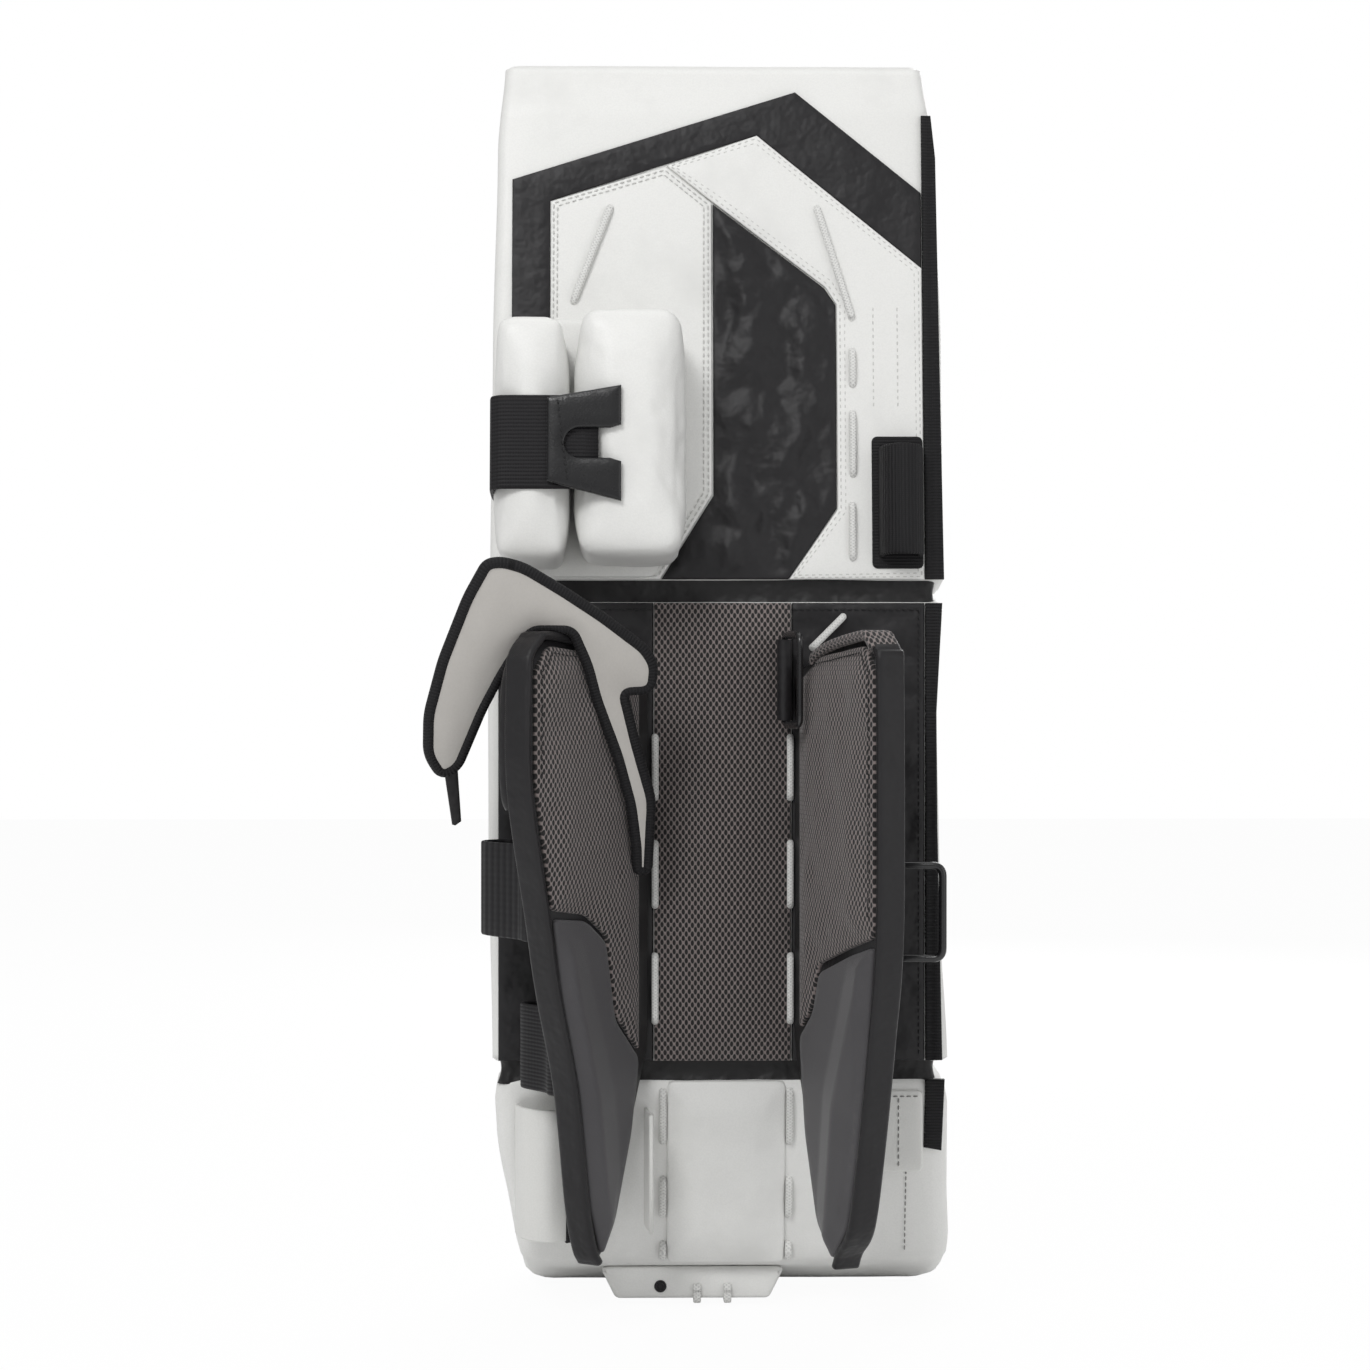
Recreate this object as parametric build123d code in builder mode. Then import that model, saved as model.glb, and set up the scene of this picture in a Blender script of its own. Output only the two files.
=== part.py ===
"""Ice hockey goalie leg pad for the right leg, built as its separate pieces.

The leg stands on the Z axis and the pad is strapped to its front. +Y is forward, away from the
leg, +X is the outer (lateral) side and -X is the inner (medial) side. Z = 0 is the lowest point.
The foam body is three sections, boot, shin and thigh, that bend at an ankle and a knee break.
"""

import os
from math import atan2, cos, hypot, radians, sin, tan

from build123d import *

os.makedirs("parts", exist_ok=True)

# ---- Driving dimensions, in millimetres and degrees ----------------------------------------------
HALF_WIDTH = 139.5  # half the legal width of a pad
TOP_NARROW = 7.5  # how much narrower the top edge is on each side
TOP_Z = 775.0
KNEE_Z = 443.0  # height of the knee break
ANKLE_Z = 151.0  # height of the ankle break
REAR_Y = 50.0  # rear plane of the shin section, in front of the leg's axis
SHIN_THICK = 70.0
THIGH_TOP_THICK = 50.0  # the thigh section thins towards its top
TOP_BEVEL, TOP_BEVEL_IN = 32.0, 9.0  # the rear of the top edge slopes forward
THIGH_LEAN = 5.0  # the thigh section leans forward of the shin
BREAK_RELIEF = 7.0  # slope of the section ends away from the pivot line
BREAK_GAP = 0.3  # half the gap at the pivot line
COVER = 2.0  # wall of the face covers
BACK = 2.0  # wall of the back panels
FIT = 0.3  # gap between a piece and what holds it
BOARD = 1.5  # stiffening boards
PANEL = 2.0  # leather panels sewn on the back
EDGE_ROUND = 16.0  # round of the front edges
CORNER_ROUND = 14.0  # round of the outline's corners
BOOT_ROUND = 6.0  # round of the boot's front edges
BINDING_WIDTH = 13.0
BINDING_THICK = 3.0
LACE_RADIUS = 2.2

LINER_LEFT, LINER_RIGHT = -40.0, 44.0  # the mesh channel that the shin lies in
LINER_THICK, LINER_EDGE = 12.0, 4.0

WING_LENGTH = 122.0  # root to free edge
WING_TOP, WING_TIP = 413.0, 46.0
WING_FOAM, WING_SKIN = 12.0, 4.0
WING_BAND = 5.0  # binding round the wing's edge
MEDIAL_HINGE_X, MEDIAL_SPLAY = -52.0, 32.0
LATERAL_HINGE_X, LATERAL_SPLAY = 53.5, 19.0

BLOCK_LOW, BLOCK_HIGH = 8.0, 163.0  # knee blocks, above the knee break
MEDIAL_BLOCK_WIDTH, INNER_BLOCK_WIDTH, BLOCK_GAP = 41.0, 63.0, 7.0
BLOCK_DEPTH = 64.0
STRAP_THICK = 3.0
STRAP_WIDTH = 56.0

WRAP_THICK = 6.0
BUCKLE_HEIGHT, BUCKLE_WIDTH, BUCKLE_BAR = 58.0, 30.0, 4.0
WEBBING_THICK = 1.4

# ---- Values that follow from them ----------------------------------------------------------------
TOP_HALF_WIDTH = HALF_WIDTH - TOP_NARROW
MID_Y = REAR_Y + SHIN_THICK / 2
HALF_THICK = SHIN_THICK / 2
SIDE_DROP = HALF_THICK * tan(radians(BREAK_RELIEF))
LEAN = radians(THIGH_LEAN)
THIGH_LENGTH = (TOP_Z - KNEE_Z) / cos(LEAN)
BACK_OUT = HALF_THICK + BACK  # depths are measured rearward from the middle of the section
PANEL_OUT = BACK_OUT + PANEL
HINGE_Y = MID_Y - BACK_OUT - BINDING_THICK - WING_FOAM / 2 - FIT


def shin_at(depth):
    """Plane parallel to the shin's rear, depth behind its middle: x is X, y is Z."""
    return Plane(origin=(0, MID_Y - depth, 0), x_dir=(1, 0, 0), z_dir=(0, -1, 0))


def thigh_at(depth):
    """The same for the leaning thigh: y is the height above the knee break."""
    tilted = Plane(origin=(0, MID_Y, KNEE_Z), x_dir=(1, 0, 0), z_dir=(0, -cos(LEAN), sin(LEAN)))
    return tilted.offset(depth)


SHIN_SIDE = Plane(origin=(0, MID_Y, 0), x_dir=(0, 1, 0), z_dir=(1, 0, 0))
THIGH_SIDE = Plane(
    origin=(0, MID_Y, KNEE_Z), x_dir=(0, cos(LEAN), -sin(LEAN)), z_dir=(1, 0, 0)
)


def save(piece, name):
    """Labels a finished piece and writes it as its node."""
    piece.part.label = name
    export_step(piece.part, f"parts/{name}.step")


def slab(plane, points, thick, rounding=0.0):
    """A flat piece on a plane, with rounded corners."""
    with BuildPart() as made:
        with BuildSketch(plane):
            with BuildLine():
                Polyline(*points, close=True)
            make_face()
            if rounding:
                fillet(vertices(), rounding)
        extrude(amount=thick)
    return made


def block(plane, points, thick, rounding=0.0, edge=0.0):
    """A slab whose outer face, the one away from the plane, has rounded edges."""
    with BuildPart() as made:
        with BuildSketch(plane):
            with BuildLine():
                Polyline(*points, close=True)
            make_face()
            if rounding:
                fillet(vertices(), rounding)
        extrude(amount=thick)
        if edge:
            outer = made.faces().sort_by(lambda f: (f.center() - plane.origin).dot(plane.z_dir))[-1]
            fillet(outer.edges(), edge)
    return made


def box_points(left, right, low, high):
    return [(left, low), (right, low), (right, high), (left, high)]


# ---- The three body sections ---------------------------------------------------------------------
# Each is a foam core and a plastic board, held between a leather face that wraps the front and the
# sides and a flat back panel. inset shrinks the outline and the front, rear_in and end_in move the
# rear and the ends that meet a break inwards.
def thigh_side(height):
    """Half the thigh section's width at a height above the knee break."""
    return HALF_WIDTH - (HALF_WIDTH - TOP_HALF_WIDTH) * height / THIGH_LENGTH


def thigh_front(height):
    """How far the thigh section's front is ahead of its middle at a height."""
    return HALF_THICK - (SHIN_THICK - THIGH_TOP_THICK) * height / THIGH_LENGTH


def thigh_outline(inset, low=-20.0):
    high = THIGH_LENGTH - inset
    foot, top = thigh_side(low) - inset, thigh_side(high) - inset
    return [(-foot, low), (foot, low), (top, high), (-top, high)]


def thigh_profile(inset, rear_in, end_in):
    rear = -HALF_THICK + rear_in
    foot = BREAK_GAP + end_in
    slope = tan(radians(BREAK_RELIEF))
    front_foot = foot + HALF_THICK * slope
    high = THIGH_LENGTH - inset
    return [
        (0, foot),
        (thigh_front(front_foot) - inset, front_foot),
        (thigh_front(high) - inset, high),
        (rear + TOP_BEVEL_IN, high),
        (rear, high - TOP_BEVEL),
        (rear, foot - rear * slope),
    ]


def shin_outline(inset):
    wide = HALF_WIDTH - inset
    return box_points(-wide, wide, ANKLE_Z - 40.0, KNEE_Z + 40.0)


def shin_profile(inset, rear_in, end_in):
    rear, front = -HALF_THICK + rear_in, HALF_THICK - inset
    high, low = KNEE_Z - BREAK_GAP - end_in, ANKLE_Z + BREAK_GAP + end_in
    slope = tan(radians(BREAK_RELIEF))
    return [
        (0, low),
        (front, low + front * slope),
        (front, high - front * slope),
        (0, high),
        (rear, high + rear * slope),
        (rear, low - rear * slope),
    ]


BOOT_MEDIAL, BOOT_LATERAL = -130.0, 146.0  # the boot's sides at its sole
BOOT_TOE = 74.0  # how far the toe reaches in front of the shin's front
TOE_HIGH = 24.0
BOOT_SLOPE = 24.0  # how far the boot's rear slopes forward from the ankle to the sole
SOLE_REAR_Z, SOLE_STEP, SOLE_START = 27.0, 10.0, 30.0
SOLE_THICKEN = 1.08  # the wall along the sloping sole, measured upright, as a share of the inset
SOLE_FLAT = 28.0  # where the sole levels out, ahead of the shin's front
TOE_BEVEL, TOE_LOW = 14.0, 12.0  # the slope under the toe
INSTEP_OUT, INSTEP_Z = 26.0, 76.0  # a point that the instep's arc passes through


def boot_outline(inset):
    """The boot's sides run straight from the sole to the width of the shin at the ankle break."""
    over = 1.3  # how far up the sides are drawn, as a share of the ankle's height
    left = BOOT_MEDIAL + (-HALF_WIDTH - BOOT_MEDIAL) * over
    right = BOOT_LATERAL + (HALF_WIDTH - BOOT_LATERAL) * over
    return [
        (BOOT_MEDIAL + inset, inset),
        (BOOT_LATERAL - inset, inset),
        (right - inset, ANKLE_Z * over),
        (left + inset, ANKLE_Z * over),
    ]


def section(side_plane, profile, rear_plane, outline, edge):
    """The solid where a side profile and a rear outline cross, with rounded front edges."""
    with BuildPart() as made:
        with BuildSketch(side_plane):
            with BuildLine():
                Polyline(*profile, close=True)
            make_face()
        extrude(amount=HALF_WIDTH + 40.0, both=True)
        with BuildSketch(rear_plane):
            with BuildLine():
                Polyline(*outline, close=True)
            make_face()
        extrude(amount=HALF_THICK * 8, both=True, mode=Mode.INTERSECT)
        front = made.faces().filter_by(lambda f: f.normal_at().Y > 0.8)
        rims = [e for f in front for e in f.edges() if abs(e.tangent_at(0.5).X) < 0.5]
        fillet(rims, edge)
    return made


def boot_section(inset, rear_in, end_in, edge):
    """The boot curves forward over the skate from the ankle break to a flat toe end."""
    slope = tan(radians(BREAK_RELIEF))
    rear, front = -HALF_THICK + rear_in, HALF_THICK - inset
    high = ANKLE_Z - BREAK_GAP - end_in
    heel_slope = (SOLE_REAR_Z - SOLE_STEP) / (SOLE_START + HALF_THICK - BOOT_SLOPE)
    toe = HALF_THICK + BOOT_TOE - inset
    with BuildPart() as made:
        with BuildSketch(SHIN_SIDE):
            with BuildLine():
                Polyline(
                    (front, high - front * slope),
                    (0, high),
                    (rear, high + rear * slope),
                    (rear + BOOT_SLOPE, SOLE_REAR_Z + SOLE_THICKEN * inset - rear_in * heel_slope),
                    (SOLE_START, SOLE_STEP + SOLE_THICKEN * inset),
                    (HALF_THICK + SOLE_FLAT, inset),
                    (toe - TOE_BEVEL, inset),
                    (toe, inset + TOE_LOW),
                    (toe, TOE_HIGH - inset),
                )
                ThreePointArc(
                    (toe, TOE_HIGH - inset),
                    (front + INSTEP_OUT, INSTEP_Z - inset),
                    (front, high - front * slope),
                )
            make_face()
        extrude(amount=HALF_WIDTH + 40.0, both=True)
        with BuildSketch(shin_at(0)):
            with BuildLine():
                Polyline(*boot_outline(inset), close=True)
            make_face()
            low_corners = vertices().group_by(Axis.Y)[0]
            fillet(low_corners, CORNER_ROUND)
        extrude(amount=HALF_THICK * 8, both=True, mode=Mode.INTERSECT)
        if edge:
            curved = made.faces().filter_by(GeomType.CYLINDER).sort_by(SortBy.AREA)[-1]
            rims = [e for e in curved.edges() if abs(e.tangent_at(0.5).X) < 0.5]
            fillet(rims, edge)
    return made


def face_cover(outer, cavity, name):
    """The leather face: the outer form less its cavity, open to the rear and at the breaks."""
    with BuildPart() as made:
        add(outer.part)
        add(cavity.part, mode=Mode.SUBTRACT)
    save(made, name)


CAVITY_OUT = -8.0  # how far the cavities run past the open sides
CORE_REAR = BOARD + 2 * FIT
CORE_IN = COVER + FIT

face_cover(
    section(THIGH_SIDE, thigh_profile(0, 0, 0), thigh_at(0), thigh_outline(0), EDGE_ROUND),
    section(
        THIGH_SIDE,
        thigh_profile(COVER, CAVITY_OUT, CAVITY_OUT),
        thigh_at(0),
        thigh_outline(COVER),
        EDGE_ROUND - COVER,
    ),
    "thigh_face",
)
face_cover(
    section(SHIN_SIDE, shin_profile(0, 0, 0), shin_at(0), shin_outline(0), EDGE_ROUND),
    section(
        SHIN_SIDE,
        shin_profile(COVER, CAVITY_OUT, CAVITY_OUT),
        shin_at(0),
        shin_outline(COVER),
        EDGE_ROUND - COVER,
    ),
    "shin_face",
)
face_cover(
    boot_section(0, 0, 0, BOOT_ROUND),
    boot_section(COVER, CAVITY_OUT, CAVITY_OUT, BOOT_ROUND - COVER),
    "boot_face",
)
save(
    section(
        THIGH_SIDE,
        thigh_profile(CORE_IN, CORE_REAR, FIT),
        thigh_at(0),
        thigh_outline(CORE_IN),
        EDGE_ROUND - CORE_IN,
    ),
    "thigh_core",
)
save(
    section(
        SHIN_SIDE,
        shin_profile(CORE_IN, CORE_REAR, FIT),
        shin_at(0),
        shin_outline(CORE_IN),
        EDGE_ROUND - CORE_IN,
    ),
    "shin_core",
)
save(boot_section(CORE_IN + 2.0, CORE_REAR, 0, 0), "boot_core")

BOARD_IN = 16.0
BACK_HIGH = THIGH_LENGTH - TOP_BEVEL - 2.0  # the back panel stops below the bevel
save(
    slab(
        thigh_at(HALF_THICK - FIT - BOARD),
        box_points(-HALF_WIDTH + BOARD_IN, HALF_WIDTH - BOARD_IN, BOARD_IN, THIGH_LENGTH - 50.0),
        BOARD,
        CORNER_ROUND,
    ),
    "thigh_board",
)
save(
    slab(
        shin_at(HALF_THICK - FIT - BOARD),
        box_points(
            -HALF_WIDTH + BOARD_IN, HALF_WIDTH - BOARD_IN, ANKLE_Z + BOARD_IN, KNEE_Z - BOARD_IN
        ),
        BOARD,
        CORNER_ROUND,
    ),
    "shin_board",
)

THIGH_FOOT = BREAK_GAP + SIDE_DROP + 1.0  # lowest height that clears the knee break's motion
SHIN_LOW, SHIN_HIGH = ANKLE_Z + THIGH_FOOT, KNEE_Z - THIGH_FOOT
save(
    slab(
        thigh_at(HALF_THICK),
        [
            (-thigh_side(THIGH_FOOT), THIGH_FOOT),
            (thigh_side(THIGH_FOOT), THIGH_FOOT),
            (thigh_side(BACK_HIGH), BACK_HIGH),
            (-thigh_side(BACK_HIGH), BACK_HIGH),
        ],
        BACK,
    ),
    "thigh_back",
)
save(
    slab(shin_at(HALF_THICK), box_points(-HALF_WIDTH, HALF_WIDTH, SHIN_LOW, SHIN_HIGH), BACK),
    "shin_back",
)

# ---- Thigh: panels on the back -------------------------------------------------------------------
BAND_LEFT, BAND_RIGHT = -128.0, HALF_WIDTH - BINDING_WIDTH - 0.5
PANEL_LEFT, SEAM_X = -104.0, -4.0  # the white panel's inner side, and where the pocket starts
PANEL_TOP = (24.0, 284.0)
BAND_TOP = (48.0, 312.0)
BAND_GAP = 0.4
POCKET_LEFT = -35.5

save(
    slab(
        thigh_at(BACK_OUT),
        [
            (BAND_LEFT, 155.0),
            (BAND_LEFT, 256.0),
            BAND_TOP,
            (BAND_RIGHT, 248.0),
            (BAND_RIGHT, 200.0 + BAND_GAP),
            (PANEL_TOP[0], PANEL_TOP[1] + BAND_GAP),
            (PANEL_LEFT - BAND_GAP, 242.0 + BAND_GAP),
            (PANEL_LEFT - BAND_GAP, 168.0),
        ],
        PANEL - 0.5,
    ),
    "chevron_band",
)
save(
    slab(
        thigh_at(BACK_OUT),
        [
            (PANEL_LEFT, THIGH_FOOT),
            (-36.0 - BAND_GAP, THIGH_FOOT),
            (SEAM_X - BAND_GAP, 58.0),
            (SEAM_X - BAND_GAP, 241.0),
            (-33.0, 264.0),
            (PANEL_LEFT, 242.0),
        ],
        PANEL,
    ),
    "thigh_panel_medial",
)
save(
    slab(
        thigh_at(BACK_OUT),
        [
            (-32.0, 264.6),
            (SEAM_X, 242.0),
            (66.0, 188.0),
            (73.0, 177.0),
            (73.0, 49.0),
            (43.0, THIGH_FOOT),
            (BAND_RIGHT, THIGH_FOOT),
            (BAND_RIGHT, 200.0),
            PANEL_TOP,
        ],
        PANEL,
    ),
    "thigh_panel_lateral",
)
save(
    block(
        thigh_at(BACK_OUT),
        [
            (POCKET_LEFT, THIGH_FOOT),
            (42.5, THIGH_FOOT),
            (72.5, 49.5),
            (72.5, 177.0),
            (65.5, 187.5),
            (SEAM_X + 0.5, 240.5),
            (SEAM_X + 0.5, 57.5),
        ],
        PANEL + 3.0,
        edge=2.0,
    ),
    "knee_pocket",
)
save(
    slab(
        thigh_at(BACK_OUT),
        [
            (HALF_WIDTH - BINDING_WIDTH, THIGH_FOOT),
            (thigh_side(THIGH_FOOT), THIGH_FOOT),
            (thigh_side(BACK_HIGH), BACK_HIGH),
            (HALF_WIDTH - BINDING_WIDTH, BACK_HIGH),
        ],
        BINDING_THICK,
    ),
    "thigh_edge_binding",
)


def laces(plane, runs, name):
    """Lace runs that lie on a plane: each is a round cord with rounded ends."""
    with BuildPart() as made:
        for x0, y0, x1, y1 in runs:
            start = plane.from_local_coords(Vector(x0, y0, LACE_RADIUS))
            end = plane.from_local_coords(Vector(x1, y1, LACE_RADIUS))
            with BuildSketch(Plane(origin=start, z_dir=end - start)):
                Circle(LACE_RADIUS)
            extrude(amount=(end - start).length)
            with Locations(start, end):
                Sphere(LACE_RADIUS)
    save(made, name)


LATERAL_LACE_X = 82.5
laces(
    thigh_at(PANEL_OUT + FIT),
    [
        (61.0, 238.0, LATERAL_LACE_X, 168.0),
        (LATERAL_LACE_X, 148.0, LATERAL_LACE_X, 126.0),
        (LATERAL_LACE_X, 109.0, LATERAL_LACE_X, 70.0),
        (LATERAL_LACE_X - 0.5, 52.0, LATERAL_LACE_X - 0.5, 18.0),
    ],
    "thigh_lacing_lateral",
)
laces(thigh_at(PANEL_OUT + FIT), [(-67.0, 238.0, -90.0, 178.0)], "thigh_lacing_medial")

# ---- Thigh: the knee stack, two foam blocks on a base, with the knee strap round them ---------------
BASE_THICK = 3.0
BASE_OUT = PANEL_OUT + FIT
BLOCK_REAR = BASE_OUT + BASE_THICK + BLOCK_DEPTH
MEDIAL_LEFT = 5.5 - HALF_WIDTH
MEDIAL_RIGHT = MEDIAL_LEFT + MEDIAL_BLOCK_WIDTH
INNER_LEFT = MEDIAL_RIGHT + BLOCK_GAP
INNER_RIGHT = INNER_LEFT + INNER_BLOCK_WIDTH

save(
    slab(
        thigh_at(BASE_OUT),
        box_points(MEDIAL_LEFT, POCKET_LEFT - 1.5, THIGH_FOOT + 1.0, BLOCK_HIGH + 4.0),
        BASE_THICK,
        8.0,
    ),
    "knee_stack_base",
)
save(
    block(
        thigh_at(BASE_OUT + BASE_THICK),
        box_points(MEDIAL_LEFT, MEDIAL_RIGHT, BLOCK_LOW, BLOCK_HIGH - 6.0),
        BLOCK_DEPTH,
        8.0,
        7.0,
    ),
    "knee_block_medial",
)
save(
    block(
        thigh_at(BASE_OUT + BASE_THICK),
        box_points(INNER_LEFT, INNER_RIGHT, BLOCK_LOW + 2.0, BLOCK_HIGH),
        BLOCK_DEPTH,
        12.0,
        11.0,
    ),
    "knee_block_inner",
)

STRAP_LOW = 50.0
STRAP_LEFT = MEDIAL_LEFT - FIT - STRAP_THICK
TAB_HINGE_X = MEDIAL_RIGHT - 10.0
STRAP_OUT = BLOCK_REAR + FIT
with BuildPart() as knee_strap:
    with BuildSketch(thigh_at(STRAP_OUT)):
        with BuildLine():
            Polyline(
                (STRAP_LEFT, STRAP_LOW),
                (TAB_HINGE_X + 30.0, STRAP_LOW),
                (TAB_HINGE_X + 30.0, STRAP_LOW + STRAP_WIDTH),
                (STRAP_LEFT, STRAP_LOW + STRAP_WIDTH),
                close=True,
            )
        make_face()
    extrude(amount=STRAP_THICK)
    with BuildSketch(thigh_at(BASE_OUT + 8.0)):
        with BuildLine():
            Polyline(
                *box_points(STRAP_LEFT, STRAP_LEFT + STRAP_THICK, STRAP_LOW, STRAP_LOW + STRAP_WIDTH),
                close=True,
            )
        make_face()
    extrude(amount=BLOCK_REAR + FIT + STRAP_THICK - BASE_OUT - 8.0)
save(knee_strap, "knee_strap")

TAB_THICK = 3.0
TAB_OUT = STRAP_OUT + STRAP_THICK + 2 * FIT
TAB_ARM = 24.0
TAB_LENGTH = 48.0
NOTCH_RADIUS = 9.0
with BuildPart() as knee_strap_tab:
    with BuildSketch(thigh_at(TAB_OUT)):
        with BuildLine():
            Polyline(
                (TAB_HINGE_X, STRAP_LOW + 4.0),
                (TAB_HINGE_X + TAB_LENGTH - 4.0, STRAP_LOW - 8.0),
                (TAB_HINGE_X + TAB_LENGTH - 4.0, STRAP_LOW + STRAP_WIDTH + 6.0),
                (TAB_HINGE_X, STRAP_LOW + STRAP_WIDTH - 2.0),
                close=True,
            )
        make_face()
        notch_y = STRAP_LOW + STRAP_WIDTH / 2 - 1.0
        with Locations((TAB_HINGE_X + TAB_LENGTH - 4.0, notch_y)):
            Rectangle(2 * (TAB_LENGTH - TAB_ARM), 2 * NOTCH_RADIUS, mode=Mode.SUBTRACT)
        with Locations((TAB_HINGE_X + TAB_ARM - 4.0, notch_y)):
            Circle(NOTCH_RADIUS, mode=Mode.SUBTRACT)
    extrude(amount=TAB_THICK)
save(knee_strap_tab, "knee_strap_tab")

# Strap keeper at the outer side: a sewn base and an arched loop that takes the strap's hook.
KEEPER_LEFT, KEEPER_RIGHT = 98.0, HALF_WIDTH - BINDING_WIDTH - 1.0
KEEPER_LOW, KEEPER_HIGH = 12.0, 94.0
KEEPER_RISE, KEEPER_WALL = 19.0, 3.5
KEEPER_OUT = PANEL_OUT + FIT + 2.0
save(
    slab(
        thigh_at(PANEL_OUT + FIT),
        box_points(KEEPER_LEFT - 4.0, KEEPER_RIGHT, KEEPER_LOW, KEEPER_HIGH),
        2.0,
        4.0,
    ),
    "strap_keeper_base",
)
keeper_mid = (KEEPER_LEFT + KEEPER_RIGHT) / 2
keeper_half = (KEEPER_RIGHT - KEEPER_LEFT) / 2
keeper_section = Plane(
    origin=thigh_at(KEEPER_OUT).from_local_coords(Vector(keeper_mid, KEEPER_LOW + 6.0, 0)),
    x_dir=(1, 0, 0),
    z_dir=(0, sin(LEAN), cos(LEAN)),
)
with BuildPart() as strap_keeper_loop:
    with BuildSketch(keeper_section):
        with BuildLine():
            ThreePointArc((-keeper_half, 0), (0, -KEEPER_RISE), (keeper_half, 0))
            Line((keeper_half, 0), (keeper_half - KEEPER_WALL, 0))
            ThreePointArc(
                (keeper_half - KEEPER_WALL, 0),
                (0, -KEEPER_RISE + KEEPER_WALL),
                (KEEPER_WALL - keeper_half, 0),
            )
            Line((KEEPER_WALL - keeper_half, 0), (-keeper_half, 0))
        make_face()
    extrude(amount=KEEPER_HIGH - KEEPER_LOW - 12.0)
save(strap_keeper_loop, "strap_keeper_loop")

# ---- Shin: channel liner, side panels, binding, laces ------------------------------------------------
with BuildPart() as calf_liner:
    with BuildSketch(Plane(origin=(0, MID_Y - BACK_OUT, SHIN_LOW), z_dir=(0, 0, 1))):
        with BuildLine():
            Polyline(
                (LINER_LEFT, -LINER_EDGE), (LINER_LEFT, 0), (LINER_RIGHT, 0), (LINER_RIGHT, -LINER_EDGE)
            )
            ThreePointArc(
                (LINER_RIGHT, -LINER_EDGE),
                ((LINER_LEFT + LINER_RIGHT) / 2, -LINER_THICK),
                (LINER_LEFT, -LINER_EDGE),
            )
        make_face()
    extrude(amount=SHIN_HIGH - SHIN_LOW)
save(calf_liner, "calf_liner")

save(
    slab(
        shin_at(BACK_OUT),
        box_points(4.0 - HALF_WIDTH, LINER_LEFT - 0.5, SHIN_LOW, SHIN_HIGH),
        BINDING_THICK,
    ),
    "side_panel_medial",
)
save(
    slab(
        shin_at(BACK_OUT),
        box_points(LINER_RIGHT + 0.5, HALF_WIDTH - BINDING_WIDTH - 0.5, SHIN_LOW, SHIN_HIGH),
        BINDING_THICK,
    ),
    "side_panel_lateral",
)
save(
    slab(
        shin_at(BACK_OUT),
        box_points(HALF_WIDTH - BINDING_WIDTH, HALF_WIDTH, SHIN_LOW, SHIN_HIGH),
        BINDING_THICK,
    ),
    "shin_edge_binding",
)
CALF_LACE_HEIGHTS = [(355.0, 318.0), (290.0, 252.0), (221.0, 181.0)]
laces(
    shin_at(BACK_OUT + LINER_EDGE + FIT),
    [(LINER_LEFT - 0.25, high, LINER_LEFT - 0.25, low) for high, low in CALF_LACE_HEIGHTS],
    "calf_lacing_medial",
)
laces(
    shin_at(BACK_OUT + LINER_EDGE + FIT),
    [(LINER_RIGHT + 0.25, high, LINER_RIGHT + 0.25, low) for high, low in CALF_LACE_HEIGHTS],
    "calf_lacing_lateral",
)
laces(
    shin_at(BACK_OUT + BINDING_THICK + FIT),
    [(57.0, 410.0, 76.0, 429.0)],
    "wing_tie_lace",
)


# ---- Calf wings --------------------------------------------------------------------------------------
def wing_plane(hinge_x, splay, side, depth=0.0):
    """Plane of a wing: x runs from its root to its free edge, y is Z. side is +1 on the lateral
    wing and -1 on the medial one, and depth is towards the leg."""
    turn = radians(splay)
    plane = Plane(
        origin=(hinge_x, HINGE_Y, 0),
        x_dir=(side * sin(turn), -cos(turn), 0),
        z_dir=(-cos(turn), -side * sin(turn), 0),
    )
    return plane.offset(side * depth)


ROOT_LOW, ROOT_HIGH = 168.0, 392.0
SKIN_START, BINDING_START = 8.0, 36.0  # where liner, guard and binding start from the root
# Each wing's free edge and the line over its guard, as points from the root and up in Z.
MEDIAL_EDGE = [
    (WING_LENGTH, 397.0),
    (WING_LENGTH, 330.0),
    (104.0, 255.0),
    (92.0, 207.0),
    (74.0, 150.0),
    (62.0, 80.0),
    (50.0, WING_TIP),
]
LATERAL_EDGE = [
    (WING_LENGTH, 397.0),
    (WING_LENGTH, 250.0),
    (110.0, 180.0),
    (96.0, 118.0),
    (82.0, 72.0),
    (60.0, WING_TIP),
]
MEDIAL_GUARD = [(WING_LENGTH, 254.0), (66.0, 250.0), (44.0, 236.0), (34.0, 188.0), (-20.0, 136.0)]
LATERAL_GUARD = [(WING_LENGTH, 240.0), (84.0, 232.0), (38.0, 218.0), (28.0, 192.0), (-20.0, 152.0)]


def wing_outline(free_edge, grow=0.0):
    """Outline of a wing from its root, at x = 0, round the top and down to the free tip."""
    tip_x, tip_z = free_edge[-1]
    return [
        (0, ROOT_HIGH),
        (40.0, WING_TOP - 6.0 + grow),
        (WING_LENGTH - 16.0, WING_TOP + grow),
        *[(across + grow, height) for across, height in free_edge[:-1]],
        (tip_x, tip_z - grow),
        (34.0 - grow * 0.6, 66.0 - grow),
        (16.0 - grow, 116.0 - grow * 0.2),
        (6.0, 158.0),
        (0, ROOT_LOW),
    ]


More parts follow.
